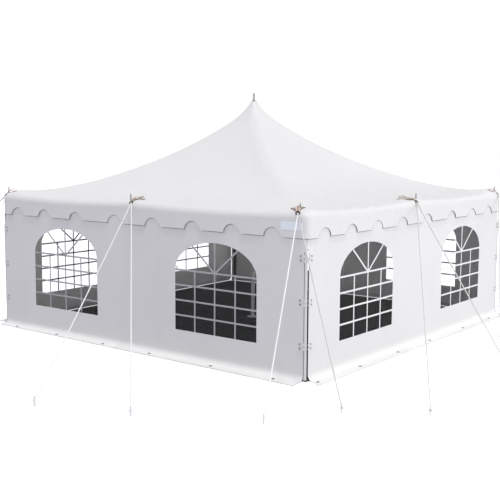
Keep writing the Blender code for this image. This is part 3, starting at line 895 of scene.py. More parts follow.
@dataclass(frozen=True)
class TentForm:
    """The sizes that the solids are made from, and the formulas of the roof's outer face.

    A place on the roof is given as its side sees it, turned to the front: how far along the eave,
    from -1 to 1, and how far from the peak, from 0 to 1.
    """

    half: float = 3.048
    rim: float = 3.0523
    peak: float = 3.735
    eave: float = 2.20
    midline: float = -0.14
    near_pin: float = 2.884
    inset: float = 0.08
    fold: float = 0.105
    corner_round: float = 0.10
    hip_round: float = 0.20
    most_round: float = 0.9
    eave_sag: float = 0.045
    gore_sag: float = 0.06
    hip_power: float = 1.93
    hip_share: float = 0.94
    peak_flare: float = 0.04
    peak_flat: float = 0.015
    peak_hole: float = 0.0045
    cone_size: float = 0.05
    ray_tall: float = 0.0065
    ray_out: float = 0.60
    ray_fade: float = 0.45
    crown_tall: float = 0.028
    crown_size: float = 0.20
    fold_tall: float = 0.018
    fold_pitch: float = 0.25
    fold_in: float = 0.28
    fold_fade: float = 0.60
    calm_edge: float = 0.03
    calm_over: float = 0.10

    @property
    def knee(self) -> float:
        """Give how far the line of the side poles is from the middle."""
        return self.rim - self.inset

    def apex(self, side: Side) -> Pair:
        """Give the peak's plan place as a side sees it, turned to the front."""
        x, y, _ = turn(self.midline * EAST, -side.value)
        return float(x), float(y)

    def middle(self, side: Side) -> float:
        """Give where along its eave a side's middle pole stands, from -1 to 1."""
        return self.apex(side)[0] / self.knee if side.is_long else 0.0

    def pins(self) -> Array:
        """Give the plan places of the eight pins, in the order of the spots."""
        k, m = self.knee, self.midline
        return np.array([(m, -k), (self.near_pin, -k), (k, 0), (k, k), (m, k), (-k, k), (-k, 0), (-k, -k)])

    def sag(self, side: Side, place: Array) -> Array:
        """Give the eave's hang between the poles: a half sine wave in each bay.

        Args:
            side: the side.
            place: along the eave.

        Returns:
            The drop under the poles' line.
        """
        middle = self.middle(side)
        share = np.where(place < middle, (place + 1) / (middle + 1), (place - middle) / (1 - middle))
        return self.eave_sag * np.abs(np.sin(np.pi * share))

    def bow(self, place: Array, reach: Array) -> Array:
        """Give how far out the rounded level line is, as a share of the square one's distance.

        On a ray through (place, 1) the square's corner is an arc of radius share, centred at
        (1 - share, 1 - share); the bow is the nearer root where the ray meets the arc.

        Args:
            place: along the eave.
            reach: from the peak.

        Returns:
            1 on the straight part, less towards the corner.
        """
        radius = self.corner_round + self.hip_round * (1 - reach)
        square = self.most_round * self.rim * np.maximum(reach, 0.01)
        share = self.most_round * np.tanh(radius / square)
        core, p = 1 - share, np.abs(place)
        root = (core * (p + 1)) ** 2 - (p * p + 1) * (2 * core ** 2 - share ** 2)
        meet = (core * (p + 1) + np.sqrt(np.maximum(0, root))) / (p * p + 1)
        return np.where(p > core, meet, 1.0)

    def height(self, side: Side, place: Array, reach: Array) -> Array:
        """Give the height of the roof's outer face.

        The rise is a power of the way up the slope plus a sharp flare at the peak; the gore hangs
        by a sine between peak and eave, and past the fold's start the face drops on a circle.

        Args:
            side: the side.
            place: along the eave.
            reach: from the peak.

        Returns:
            The height.
        """
        start = 1 - self.fold / self.rim
        on_slope = np.minimum(reach, start)
        down = np.maximum(0.0, on_slope - self.peak_flat) / (1 - self.peak_flat)
        flare = (1 - self.hip_share) * np.exp(-down / self.peak_flare)
        rise = self.hip_share * (1 - down) ** self.hip_power + flare
        gore = self.gore_sag * np.sin(np.pi * down) * (1 - place ** 2)
        hang = gore + self.sag(side, place) * on_slope ** 6
        out = np.clip((reach - start) * self.rim, 0, self.fold)
        drop = self.fold - np.sqrt(np.maximum(0.0, self.fold ** 2 - out ** 2))
        return self.eave + (self.peak - self.eave) * rise - hang - drop

    def plan(self, side: Side, place: Array, reach: Array) -> tuple[Array, Array]:
        """Give the plan place: on a ray from the peak as far as the poles, then straight out.

        Near the peak the square level lines turn round: each ray is shortened to the length of
        the middle one, by a share that dies away down the slope.

        Args:
            side: the side.
            place: along the eave.
            reach: from the peak.

        Returns:
            x and y, turned to the front.
        """
        ax, ay = self.apex(side)
        edge = self.knee / self.rim
        bow = self.bow(place, reach)
        kx, ky = place * self.knee * bow, -self.knee * bow
        length = np.hypot(kx - ax, ky - ay)
        round_share = np.exp(-(reach / self.cone_size) ** 2)
        share = np.minimum(reach / edge, 1.0) * (1 - round_share * (1 - self.knee / length))
        x, y = ax + (kx - ax) * share, ay + (ky - ay) * share
        far = self.rim * reach * bow
        return np.where(reach > edge, place * far, x), np.where(reach > edge, -far, y)

    def lift(self, x: Array, y: Array) -> Array:
        """Give the roof's height over plan places: the side is the one that the ray runs to.

        The bow depends on the place that it helps to find, so the two are worked out in four rounds.

        Args:
            x: world x.
            y: world y.

        Returns:
            Heights of the outer face, with the puckers of the cloth.
        """
        nearest, top = np.full(x.shape, -np.inf), np.zeros(x.shape)
        for side in Side:
            local = turn(stack(x, y, 0.0), -side.value)
            ax, ay = self.apex(side)
            lx, ly = local[..., 0], local[..., 1]
            along = (ly - ay) / (-self.knee - ay)
            bow = np.ones_like(along)
            for _ in range(4):
                share = np.maximum((ly - ay) / (-self.knee * bow - ay), 1e-6)
                past = -ly > self.knee * bow
                on_ray = ((lx - ax) / share + ax) / (self.knee * bow)
                place = np.clip(np.where(past, lx / np.maximum(-ly, 1e-6), on_ray), -1, 1)
                reach = np.where(past, -ly / (self.rim * bow), share * self.knee / self.rim)
                bow = self.bow(place, np.clip(reach, 0.1, 1))
            z = self.height(side, place, np.clip(reach, self.peak_hole, 1))
            top = np.where(along > nearest, z, top)
            nearest = np.maximum(nearest, along)
        return top + self.puckers(x, y)

    def puckers(self, x: Array, y: Array) -> Array:
        """Give the small forms of the stretched cloth: rays from each pin, a crown and long folds.

        A ray is a sharpened cosine of the angle round its pin, strongest at ray_out and faded
        with distance; the crown is a soft hump inward of the pin. All of it dies on the eave.

        Args:
            x: world x.
            y: world y.

        Returns:
            The height to add.
        """
        total = np.zeros(np.broadcast(x, y).shape)
        for number, pin in enumerate(self.pins()):
            px, py = pin
            wave = np.cos(np.arctan2(y - py, x - px) * (13 + number % 3) + 1.7 * number)
            ridge = np.maximum(wave, 0) ** 2 - 0.35
            fade = np.exp(-((np.hypot(x - px, y - py) - self.ray_out) / self.ray_fade) ** 2)
            cx, cy = pin + self.crown_size * unit(np.where(np.abs(pin) > self.half / 2, -pin, 0.0))
            crown = np.exp(-(np.hypot(x - cx, y - cy) / self.crown_size) ** 2)
            total = total + self.ray_tall * ridge * fade + self.crown_tall * crown
        from_edge = self.rim - np.maximum(np.abs(x), np.abs(y))
        return (total + self.folds(x, y)) * np.clip((from_edge - self.calm_edge) / self.calm_over, 0, 1)

    def folds(self, x: Array, y: Array) -> Array:
        """Give the long slanting folds of the stretched cloth, as bent sine ridges.

        A fold's phase is the distance across it in pitches, bent by two slow sines. The folds run
        inward at a slope of 3 to 4, come and go in patches, and fade up the slope and at the hips.

        Args:
            x: world x.
            y: world y.

        Returns:
            The height to add.
        """
        far, near = np.maximum(np.abs(x), np.abs(y)), np.minimum(np.abs(x), np.abs(y))
        along = np.where(np.abs(x) > np.abs(y), np.sign(x) * y, -np.sign(y) * x)
        inward = self.rim - far
        across, run = 0.8 * inward - 0.6 * along, 0.6 * inward + 0.8 * along
        bend = 1.3 * np.sin(1.7 * run) + 0.8 * np.sin(3.1 * run + 2.3 * across)
        ridge = np.sin(2 * np.pi * across / self.fold_pitch + bend)
        patches = 0.55 + 0.45 * np.sin(2.1 * run - 3.3 * across + 1.0)
        fade = np.exp(-((inward - self.fold_in) / self.fold_fade) ** 2)
        return self.fold_tall * ridge * patches * np.clip((far - near) / self.fold_fade, 0, 1) * fade


FORM = TentForm()


# The pieces


@dataclass
class Canopy:
    """The roof with its valance: one sheet from the peak over the fold to the scalloped edge."""

    form: TentForm = FORM
    cloth: float = 0.0018
    slope_rows: int = 60
    fold_rows: int = 8
    drop_rows: int = 8
    row_power: float = 1.25
    bottom: float = 1.84
    bend: float = 2.02
    notch_half: float = 0.145
    notch_height: float = 0.122
    long_notches: tuple = (-2.645, -1.985, -1.25, -0.40, 0.37, 1.13, 1.83, 2.505)
    cross_notches: tuple = (-2.655, -1.99, -1.29, -0.55, 0.25, 1.095, 1.865, 2.54)
    near_stand: float = 0.003
    curl: float = 0.007
    corner_stand: float = 0.005
    cut_apart: float = 6.08
    hem_radius: float = 0.0030
    hem_sides: int = 6

    def notches(self, side: Side) -> Array:
        """Give where a side's notches are."""
        return np.array(self.long_notches if side.is_long else self.cross_notches)

    def columns(self, side: Side) -> Array:
        """Give the columns' places along a side, close together round each notch and at the corners.

        Args:
            side: the side.

        Returns:
            The places, in order.
        """
        middles, rim = self.notches(side), self.form.rim
        round_notch = middles[:, None] - self.notch_half * np.cos(np.linspace(0, np.pi, 11))
        low = np.concatenate([[-rim], middles + self.notch_half])[:, None]
        high = np.concatenate([middles - self.notch_half, [rim]])[:, None]
        between = low + (high - low) * np.linspace(0, 1, 6)[1:-1]
        near = rim - np.linspace(0.015, 0.25, 10)
        stops = [[-rim], round_notch.ravel(), [rim], between.ravel(), near, -near]
        return np.unique(np.round(np.concatenate(stops), 6))

    def edge(self, side: Side, across: Array) -> Array:
        """Give the scalloped edge's height: flat tabs, with half an ellipse cut out at each notch."""
        away = np.abs(across[:, None] - self.notches(side)).min(axis=1)
        return self.bottom + self.notch_height * np.sqrt(np.maximum(0, 1 - (away / self.notch_half) ** 2))

    def stand(self, side: Side, across: Array, height: Array) -> Array:
        """Give how far the valance stands off the wall's plane.

        It grows below the bend, and along each tab towards the near end, as a soft step.

        Args:
            side: the side.
            across: where along the side.
            height: heights on the valance.

        Returns:
            The distance outward.
        """
        stops = np.concatenate([[-self.form.rim], self.notches(side), [self.form.rim]])
        number = np.clip(np.searchsorted(stops, across) - 1, 0, len(stops) - 2)
        share = (across - stops[number]) / (stops[number + 1] - stops[number])
        share = share if side.is_long else 1 - share
        low = np.clip((self.bend - height) / (self.bend - self.bottom), 0, 1)
        calm = np.clip((self.form.rim - np.abs(across)) / 0.15, 0, 1)
        curl = self.near_stand + self.curl * np.clip(share, 0, 1) ** 1.5
        return low ** 1.4 * (curl * calm + self.corner_stand * (1 - calm))

    def seam(self, side: Side, across: Array) -> Array:
        """Give how dark the hem's painted shade line shows, for the shade under the valance where it stands
        off the wall: along each tab, rising towards its near end.

        Past the near end it goes on up the notch's first flank and fades over its top.

        Args:
            side: the side.
            across: where along the side.

        Returns:
            The strength from 0 to 1.
        """
        flip = 1 if side.is_long else -1
        beyond = self.form.rim + 0.3
        stops = np.concatenate([[-beyond], np.sort(flip * self.notches(side)), [beyond]])
        number = np.clip(np.searchsorted(stops, flip * across) - 1, 0, len(stops) - 2)
        run = flip * across - stops[number]
        after = np.clip(1 - run / (0.35 * self.notch_half), 0, 1)
        before = np.clip((run - 0.9 * self.notch_half) / 0.12, 0, 1)
        return np.maximum(after, before)

    def side_surface(self, side: Side) -> tuple[Array, Array]:
        """Work out one side from the peak to the scalloped edge, in its place.

        Args:
            side: the side.

        Returns:
            Points and UV in metres, rows by columns.
        """
        form, across = self.form, self.columns(side)
        place, fold = across / form.rim, form.fold / form.rim
        down = np.linspace(0, 1, self.slope_rows) ** self.row_power
        angle = np.linspace(0, np.pi / 2, self.fold_rows + 1)[1:]
        slope = form.peak_hole + (1 - fold - form.peak_hole) * down
        reach = np.concatenate([slope, 1 - fold + fold * np.sin(angle)])[:, None]
        top = form.height(side, place, reach)
        upper = turn(stack(*form.plan(side, place, reach), top), side.value)
        upper[..., 2] += form.puckers(upper[..., 0], upper[..., 1])
        share = np.linspace(0, 1, self.drop_rows + 1)[1:, None]
        height = top[-1] * (1 - share) + self.edge(side, across) * share
        off = self.stand(side, np.broadcast_to(across, height.shape), height)
        out = (form.rim + off) * form.bow(place, np.ones_like(place))
        lower = turn(stack(place * out, -out, height), side.value)
        points = np.concatenate([upper, lower])
        return points, stack(across + self.cut_apart * side.value, walked(points))

    def hem(self, rim: Array) -> Shell:
        """Make the tape round the scalloped edge, with the painted shade line's strength as its UV x.

        Args:
            rim: the edge's points, all the way round.

        Returns:
            The tape as one closed tube.
        """
        shell = sweep(rim + 0.001 * UP, circle(self.hem_radius, self.hem_sides), closed=True)
        seam = np.concatenate([self.seam(side, self.columns(side)[:-1]) for side in Side])
        here = np.arange(len(shell.faces)) // self.hem_sides
        strength = np.stack([seam, seam, np.roll(seam, -1), np.roll(seam, -1)], axis=1)[here]
        shell.uv = stack(strength.ravel(), 0.0)
        return shell

    def build(self, finishes: Finishes) -> bpy.types.Object:
        """Args:
            finishes: the tent's finishes.

        Returns:
            The canopy.
        """
        parts = [self.side_surface(side) for side in Side]
        points = np.concatenate([p[:, :-1] for p, _ in parts], axis=1)
        uv = np.concatenate([u[:, :-1] for _, u in parts] + [parts[-1][1][:, -1:]], axis=1)
        shell = grid(points[::-1], wrap=True, uv=uv[::-1])
        nodes = [f"{kind}_{side.label}" for kind in ("roof", "valance") for side in Side]
        canopy = make_piece("canopy", shell, (finishes.roof, finishes.lining), nodes, 50,
                            self.cloth)
        tape = make_piece("canopy_hem", self.hem(points[-1]), (finishes.binding,))
        flat_area(shell)
        return canopy


@dataclass
class SideWall:
    """One hung wall: a sheet with two arched openings, its skirt, film panes and welded bars.

    A skirt is given by its widths at the wall's left and right ends and how far it passes them,
    and the flap's plan by how far past the right end and how far behind the wall's plane it is.
    """

    side: Side
    form: TentForm = FORM
    top: float = 2.085
    corner_gap: float = 0.04
    edge: float = 0.055
    cloth: float = 0.0015
    bend: float = 0.085
    window: float = 1.525
    half_width: float = 0.722
    sill: float = 0.398
    spring: float = 1.262
    rise: float = 0.42
    ray: Pair = (0.405, 0.347)
    bar: float = 0.025
    bar_thick: float = 0.0016
    bar_layer: float = 0.0003
    film_thick: float = 0.0005
    film_in: float = 0.0006
    long_skirt: tuple = (0.14, 0.26, 0.0, 0.03)
    cross_skirt: tuple = (0.23, 0.22, 0.10, 0.0)
    long_eyelets: tuple = (-2.65, -1.65, -0.59, 0.39, 1.56, 2.63)
    cross_eyelets: tuple = (-2.96, -1.90, -0.82, 0.20, 1.41, 2.47)
    eyelet_radius: float = 0.016
    eyelet_wire: float = 0.007
    tape_radius: float = 0.0032
    # painted shade: how dark the hem's line shows up the ends, and on the ground for each kind of side
    shade_line_strength: float = 0.9
    long_ground_seam: float = 0.40
    cross_ground_seam: float = 0.10
    billow: tuple = (0.0035, 0.0022, 0.0012)
    tuck_more: float = 0.008
    tuck_from: float = 1.72
    tuck_over: float = 0.10
    flap_plan: tuple = ((-0.085, 0.008), (-0.004, 0.008), (0.003, 0.010), (0.028, 0.030))
    flap_cut: tuple = (0.0, 0.08, 0.09, 0.12)
    flap_span: Pair = (0.012, 1.836)
    flap_thick: float = 0.0012
    window_columns: int = 26
    top_rows: int = 8
    pane_rows: int = 12
    low_rows: int = 6
    bend_rows: int = 8
    skirt_rows: int = 5

    @property
    def reach(self) -> float:
        """Give the wall's half length."""
        return self.form.half - self.corner_gap

    @property
    def skirt(self) -> tuple:
        """Give the skirt's two widths and how far it passes the wall's two ends."""
        return self.long_skirt if self.side.is_long else self.cross_skirt

    def columns(self) -> tuple[Array, Array]:
        """Give the columns' places along the wall, and which window each gap between them is in.

        Returns:
            The places, and for each gap 0 or 1 for a window or -1 for the plain wall.
        """
        c, w, r = self.window, self.half_width, self.reach
        arc = -np.cos(np.linspace(0, np.pi, self.window_columns + 1)) * w
        end = np.concatenate([np.linspace(c + w, r - self.edge, 9), np.linspace(r - self.edge, r, 5)[1:]])
        runs = [(-end[::-1], -1), (arc - c, 0), (np.linspace(w - c, c - w, 17), -1), (arc + c, 1), (end, -1)]
        places = np.concatenate([run[:-1] for run, _ in runs] + [[r]])
        return places, np.concatenate([np.full(len(run) - 1, tag) for run, tag in runs])

    def arch(self, x: Array) -> Array:
        """Give the openings' upper edge: half an ellipse in a window, the spring line beside it."""
        away = np.minimum(np.abs(x - self.window), np.abs(x + self.window)) / self.half_width
        return self.spring + self.rise * np.sqrt(np.maximum(0, 1 - away ** 2))

    def wave(self, x: Array, z: Array) -> Array:
        """Give the wall's slow billow, out from its plane: three sine folds that fade at the ends.

        Args:
            x: along the wall.
            z: the height.

        Returns:
            The distance outward.
        """
        (slow, mid, quick), phase = self.billow, 0.9 * self.side.value
        out = slow * np.sin(1.9 * x + 1.1 * z + phase) + mid * np.sin(4.3 * x - 0.8 * z + 2 * phase)
        out = out + quick * np.sin(9.5 * x + 0.6 * np.sin(2.2 * z) + phase)
        return out * np.clip((self.reach - np.abs(x)) / 0.5, 0, 1)

    def tuck(self, x: Array, z: Array) -> Array:
        """Give how far the wall's upper corners draw in behind the valance's rounded corner.

        Args:
            x: along the wall.
            z: the height.

        Returns:
            The distance inward: a quarter circle's, and a little more.
        """
        r = self.form.corner_round
        over = np.clip(np.abs(x) - (self.form.rim - r), 0, r)
        inset = r - np.sqrt(r * r - over * over) + self.tuck_more * np.clip(over / 0.02, 0, 1)
        return inset * np.clip((z - self.tuck_from) / self.tuck_over, 0, 1)

    def surface(self) -> tuple[Array, Array, Array, int]:
        """Work out the wall as a grid whose rows follow the arches, down over the bend to the skirt.

        Returns:
            Points, UV in metres, the gaps' window tags, and the openings' first row.
        """
        x, tags = self.columns()
        arch, foot = self.arch(x), self.bend + self.cloth
        from_top = np.linspace(0, 1, self.top_rows + 1)[:, None]
        pane, low, turned, flat = (np.linspace(0, 1, rows + 1)[1:, None] for rows in (
            self.pane_rows, self.low_rows, self.bend_rows, self.skirt_rows))
        z_wall = np.concatenate([self.top * (1 - from_top) + arch * from_top,
                                 arch * (1 - pane) + self.sill * pane,
                                 self.sill * (1 - low) + foot * low + 0 * x])
        angle = np.pi / 2 * turned
        near, far, past_left, past_right = self.skirt
        share = (x + self.reach) / (2 * self.reach)
        width = near + (far - near) * share + 0.004 * np.sin(7 * x) + 0.003 * np.sin(17 * x + 1)
        z = np.concatenate([z_wall, foot - self.bend * np.sin(angle) + 0 * x,
                            self.cloth + 0.0012 * flat * (1 + np.sin(11 * x + 3 * flat))])
        out = np.concatenate([self.wave(x, z_wall) - self.tuck(x, z_wall),
                              self.bend * (1 - np.cos(angle)) + self.wave(x, foot) * np.cos(angle),
                              self.bend * (1 - flat) + width * flat])
        ease = np.concatenate([np.zeros((len(z) - self.skirt_rows, 1)), flat]) ** 1.2
        slide = (past_right * share ** 12 - past_left * (1 - share) ** 12) * ease
        points = turn(stack(x + slide, -self.form.half - out, z), self.side.value)
        return points, stack(x + 3.3, walked(points)), tags, self.top_rows

    def spot(self, x: Array, z: Array, proud: float) -> Array:
        """Give points on the wall's face, proud of it by so much, in the wall's place."""
        return turn(stack(x, -self.form.half - self.wave(x, z) - proud, z), self.side.value)

    def bars(self, centre: float) -> Shell:
        """Make one window's bars: three uprights, four rails and two rays to the arch.

        Args:
            centre: the window's middle along the wall.

        Returns:
            The bars as bands on the wall's face, in three layers, so that none cross in one plane.
        """
        w, h, low, (rx, rz) = self.half_width, self.spring, self.sill, self.ray
        lines = [((-w / 2, low), (-w / 2, h)), ((0, low), (0, h + self.rise)), ((w / 2, low), (w / 2, h))]
        lines += [((-w, z), (w, z)) for z in h - (h - low) / 4 * np.arange(4)]
        lines += [((0, h), (-rx, h + rz)), ((0, h), (rx, h + rz))]
        shells = []
        for number, (start, end) in enumerate(lines):
            x, z = on_line(start, end, 14).T
            path = self.spot(centre + x, z, self.bar_thick + self.bar_layer * (number % 3))
            shells.append(strip(path, self.bar, turn(-NORTH, self.side.value)))
        return join(shells)

    def hem(self, points: Array) -> Shell:
        """Make the tape with a painted shade line down both ends of the wall and along the skirt's outer
        edge, for the shade in the corner's gap and at the skirt's edge.

        Args:
            points: the wall's grid, top row first.

        Returns:
            The tape as one closed tube, its painted shade line fainter on the ground.
        """
        path = np.concatenate([points[4:, 0], points[-1, 1:-1], points[:3:-1, -1]])
        shell = sweep(path, circle(self.tape_radius, 6), up=turn(0.35 * UP - NORTH, self.side.value))
        height = np.mean(shell.points[np.array([face[:4] for face in shell.faces])][..., 2], axis=1)
        ground = self.long_ground_seam if self.side.is_long else self.cross_ground_seam
        strength = np.where(height < 0.02, ground, self.shade_line_strength)
        shell.uv = stack(np.repeat(strength, [len(face) for face in shell.faces]), 0.0)
        return shell

    def eyelets(self) -> Shell:
        """Make the six eyelets in the skirt: a flat ring each, a little over half its width out.

        Returns:
            The rings as one shell.
        """
        near, far = self.skirt[:2]
        shells = []
        for x in self.long_eyelets if self.side.is_long else self.cross_eyelets:
            out = 0.55 * (near + (far - near) * (x + self.reach) / (2 * self.reach))
            centre = np.array([x, -self.form.half - out, self.cloth + 0.0035])
            ring = loop(centre, self.eyelet_radius * EAST, self.eyelet_radius * NORTH, 16)
            shells.append(sweep(ring, circle(self.eyelet_wire, 8, 0.4), closed=True).turned(self.side))
        return join(shells)

    def flap(self) -> Shell:
        """Make the corner flap: a strip behind the wall's right end that bends across the corner's gap.

        Returns:
            A tall open strip, four points across, its outer face to the open.
        """
        z = np.linspace(*self.flap_span, 20)[:, None]
        past, behind = np.array(self.flap_plan).T
        points = stack(self.reach + past, behind - self.form.half, z)
        return grid(turn(points, self.side.value), uv=stack(self.flap_cut, z))

    def build(self, finishes: Finishes) -> bpy.types.Object:
        """Args:
            finishes: the tent's finishes.

        Returns:
            The wall.
        """
        points, uv, tags, first = self.surface()
        last = first + self.pane_rows
        rows = np.arange(len(points) - 1)
        in_pane = (rows >= first) & (rows < last)
        keep = ~(in_pane[:, None] & (tags >= 0))
        shell = grid(points[::-1], uv=uv[::-1], keep=keep[::-1])
        name = f"wall_{self.side.label}"
        wall = make_piece(f"{name}_sheet", shell, (finishes.wall, finishes.lining), [name], 50,
                          self.cloth)
        going = [make_piece(f"{name}_eyelets", self.eyelets(), (finishes.eyelet,)),
                 make_piece(f"{name}_hem", self.hem(points), (finishes.binding,), smooth=80),
                 # the flap's back face carries painted shade
                 make_piece(f"{name}_flap", self.flap(), (finishes.wall, finishes.flap_inner_painted_shade),
                            smooth=30, thick=self.flap_thick)]
        front = finishes.grey_bars if self.side.is_long else finishes.white_bars
        inward = turn(self.film_in * NORTH, self.side.value)
        for tag, hand in enumerate(("left", "right")):
            chosen = np.flatnonzero(tags == tag)
            span = slice(chosen[0], chosen[-1] + 2)
            pane = grid((points[first:last + 1, span] + inward)[::-1], uv=uv[first:last + 1, span][::-1])
            label = f"window_{self.side.label}_{hand}"
            film = make_piece(f"{label}_film", pane, (finishes.film,), [label], 50,
                              self.film_thick)
            crossed = self.bars(self.window * (2 * tag - 1))
            # the bars' back faces carry painted shade
            bars = make_piece(f"{label}_bars", crossed, (front, finishes.bar_inner_painted_shade), smooth=30,
                              thick=self.bar_thick)
            flat_area(pane)
        flat_area(shell)
        return wall


@dataclass
class EaveFitting:
    """The strapwork at one pole: a fan of webbing on the roof that ends in a ring on the fold.

    At the near corner the ring and the fan's middle strip lie at ways of their own. Every second
    strip is a little shorter, and they lie on one another in the order of layers.
    """

    spot: Spot
    form: TentForm = FORM
    near_out: Pair = (0.35, -0.94)
    near_in: Pair = (-0.56, 0.83)
    overhang: float = 0.052
    strips: int = 5
    layers: tuple = (0, 2, 4, 3, 1)
    bed: float = 0.0012
    layer: float = 0.0026
    shorter: float = 0.08
    strap: float = 0.032
    thick: float = 0.0024
    stitch_half: float = 0.012
    stitch_tall: float = 0.0004
    thread: float = 0.0009
    ring_radius: float = 0.024
    ring_wire: float = 0.0065
    ring_up: float = 0.65
    ring_off: float = 0.010
    tie_height: float = 0.06

    @property
    def outward(self) -> Array:
        """Give the level way out over the eave: square to it, or along the diagonal at a corner.

        Returns:
            The way, 1 long.
        """
        if self.spot is Spot.FRONT_RIGHT:
            return unit(np.array(self.near_out))
        if self.spot.is_corner:
            return unit(np.sign(self.pin))
        return turn(-NORTH, self.spot.side.value)[:2]

    @property
    def inward(self) -> Array:
        """Give the level way in that the fan's middle strip takes."""
        return np.array(self.near_in) if self.spot is Spot.FRONT_RIGHT else -self.outward

    @property
    def pin(self) -> Array:
        """Give the pin's plan place."""
        return self.form.pins()[list(Spot).index(self.spot)]

    @property
    def size(self) -> FanSize:
        """Give how the fan lies, as its kind of place has it.

        Returns:
            The kind's sizes.
        """
        if self.spot.is_corner:
            return FanSize.CORNER
        return FanSize.LONG_SIDE if self.spot.side.is_long else FanSize.CROSS_SIDE

    def tilt(self) -> Array:
        """Give the ring's own facing: more out than up."""
        return unit(np.array([*self.outward, self.ring_up]))

    def ring_centre(self) -> Array:
        """Give the ring's middle, hanging on the fold outside the pin."""
        x, y = self.pin + self.outward * self.overhang + left_of(self.outward) * self.size.shift
        return np.array([x, y, float(self.form.lift(x, y))]) + self.ring_off * self.tilt()

    def strip_plan(self, number: int, count: int) -> tuple[Array, Array]:
        """Give one strip's plan line, from the ring over the fold and in at its own angle.

        Args:
            number: which strip, from one side of the fan to the other.
            count: how many points.

        Returns:
            The points and, for each, the share of the way.
        """
        angle = math.radians(self.size.spread) * (2 * number / (self.strips - 1) - 1)
        way = self.inward * math.cos(angle) + left_of(self.inward) * math.sin(angle)
        share = np.linspace(0, 1, count)
        start = self.ring_centre()[:2] - self.outward * self.ring_off
        long = self.size.length * (1.0 - self.shorter * (number % 2))
        return start + way * long * (0.4 * share + 0.6 * share ** 2)[:, None], share

    def rope_start(self, number: int) -> Array:
        """Give where a guy rope leaves the ring, towards its stake.

        Args:
            number: which of the two ropes.

        Returns:
            The point on the ring's wire.
        """
        centre, facing = self.ring_centre(), self.tilt()
        line = np.array([*self.spot.stakes[number], self.tie_height]) - centre
        return centre + unit(line - facing * line.dot(facing)) * self.ring_radius

    def over_roof(self, number: int, plan: Array, share: Array) -> Array:
        """Give points of a strip's underside: each strip lies on the one before and bows a little.

        Args:
            number: which strip.
            plan: its plan line.
            share: for each point the share of the way, where the bow is a squared sine.

        Returns:
            N by 3 points.
        """
        lay = self.bed + self.layer * self.layers[number]
        z = self.form.lift(plan[:, 0], plan[:, 1]) + lay + self.size.bowing * np.sin(np.pi * share) ** 2
        return np.column_stack([plan, z])

    def fan(self) -> list[Shell]:
        """Make the strips, each widening from the ring.

        Returns:
            A shell for each strip.
        """
        shells = []
        for number in range(self.strips):
            plan, share = self.strip_plan(number, 34)
            wide = 0.5 + 0.5 * np.clip(share / 0.6, 0, 1)
            path = self.over_roof(number, plan, share)
            shells.append(sweep(path, band(self.strap, self.thick), scale=wide))
        return shells

    def stitches(self) -> Shell:
        """Make two rows of stitches across each strip near its inner end, as short raised threads.

        Returns:
            The threads as one shell.
        """
        shells = []
        for number in range(self.strips):
            plan, share = self.strip_plan(number, 34)
            cross = left_of(unit(plan[-1] - plan[-2]))
            for step in (32, 27):
                line = plan[step] + cross * np.linspace(-self.stitch_half, self.stitch_half, 9)[:, None]
                path = self.over_roof(number, line, share[step])
                path[:, 2] += self.thick + self.stitch_tall * np.cos(np.arange(9) * np.pi)
                shells.append(sweep(path, circle(self.thread, 5)))
        return join(shells)

    def ring(self) -> Shell:
        """Make the ring as a wire loop, a little wider than tall, in the plane of its facing.

        Returns:
            The ring.
        """
        facing, across = self.tilt(), np.array([*left_of(self.outward), 0.0])
        wide, tall = 1.15 * self.ring_radius * across, self.ring_radius * np.cross(facing, across)
        path = loop(self.ring_centre(), wide, tall, 28)
        return sweep(path, circle(self.ring_wire, 8), up=facing, closed=True)

    def build(self, finishes: Finishes) -> None:
        """Make the fan, its stitches and the ring, in place of the solid fitting.

        Args:
            finishes: the tent's finishes.
        """
        name = f"eave_fitting_{self.spot.label}"
        shells = self.fan()
        tans = (("sand", finishes.sand, (0, 3)), ("rose", finishes.rose, (1, 4)),
                ("brown", finishes.brown, (2,)))
        for label, finish, chosen in tans:
            make_piece(f"{name}_straps_{label}", join([shells[k] for k in chosen]), (finish,),
                       [name] if label == "sand" else (), 35)
        make_piece(f"{name}_stitches", self.stitches(), (finishes.cord,))
        make_piece(f"{name}_ring", self.ring(), (finishes.black_steel,))


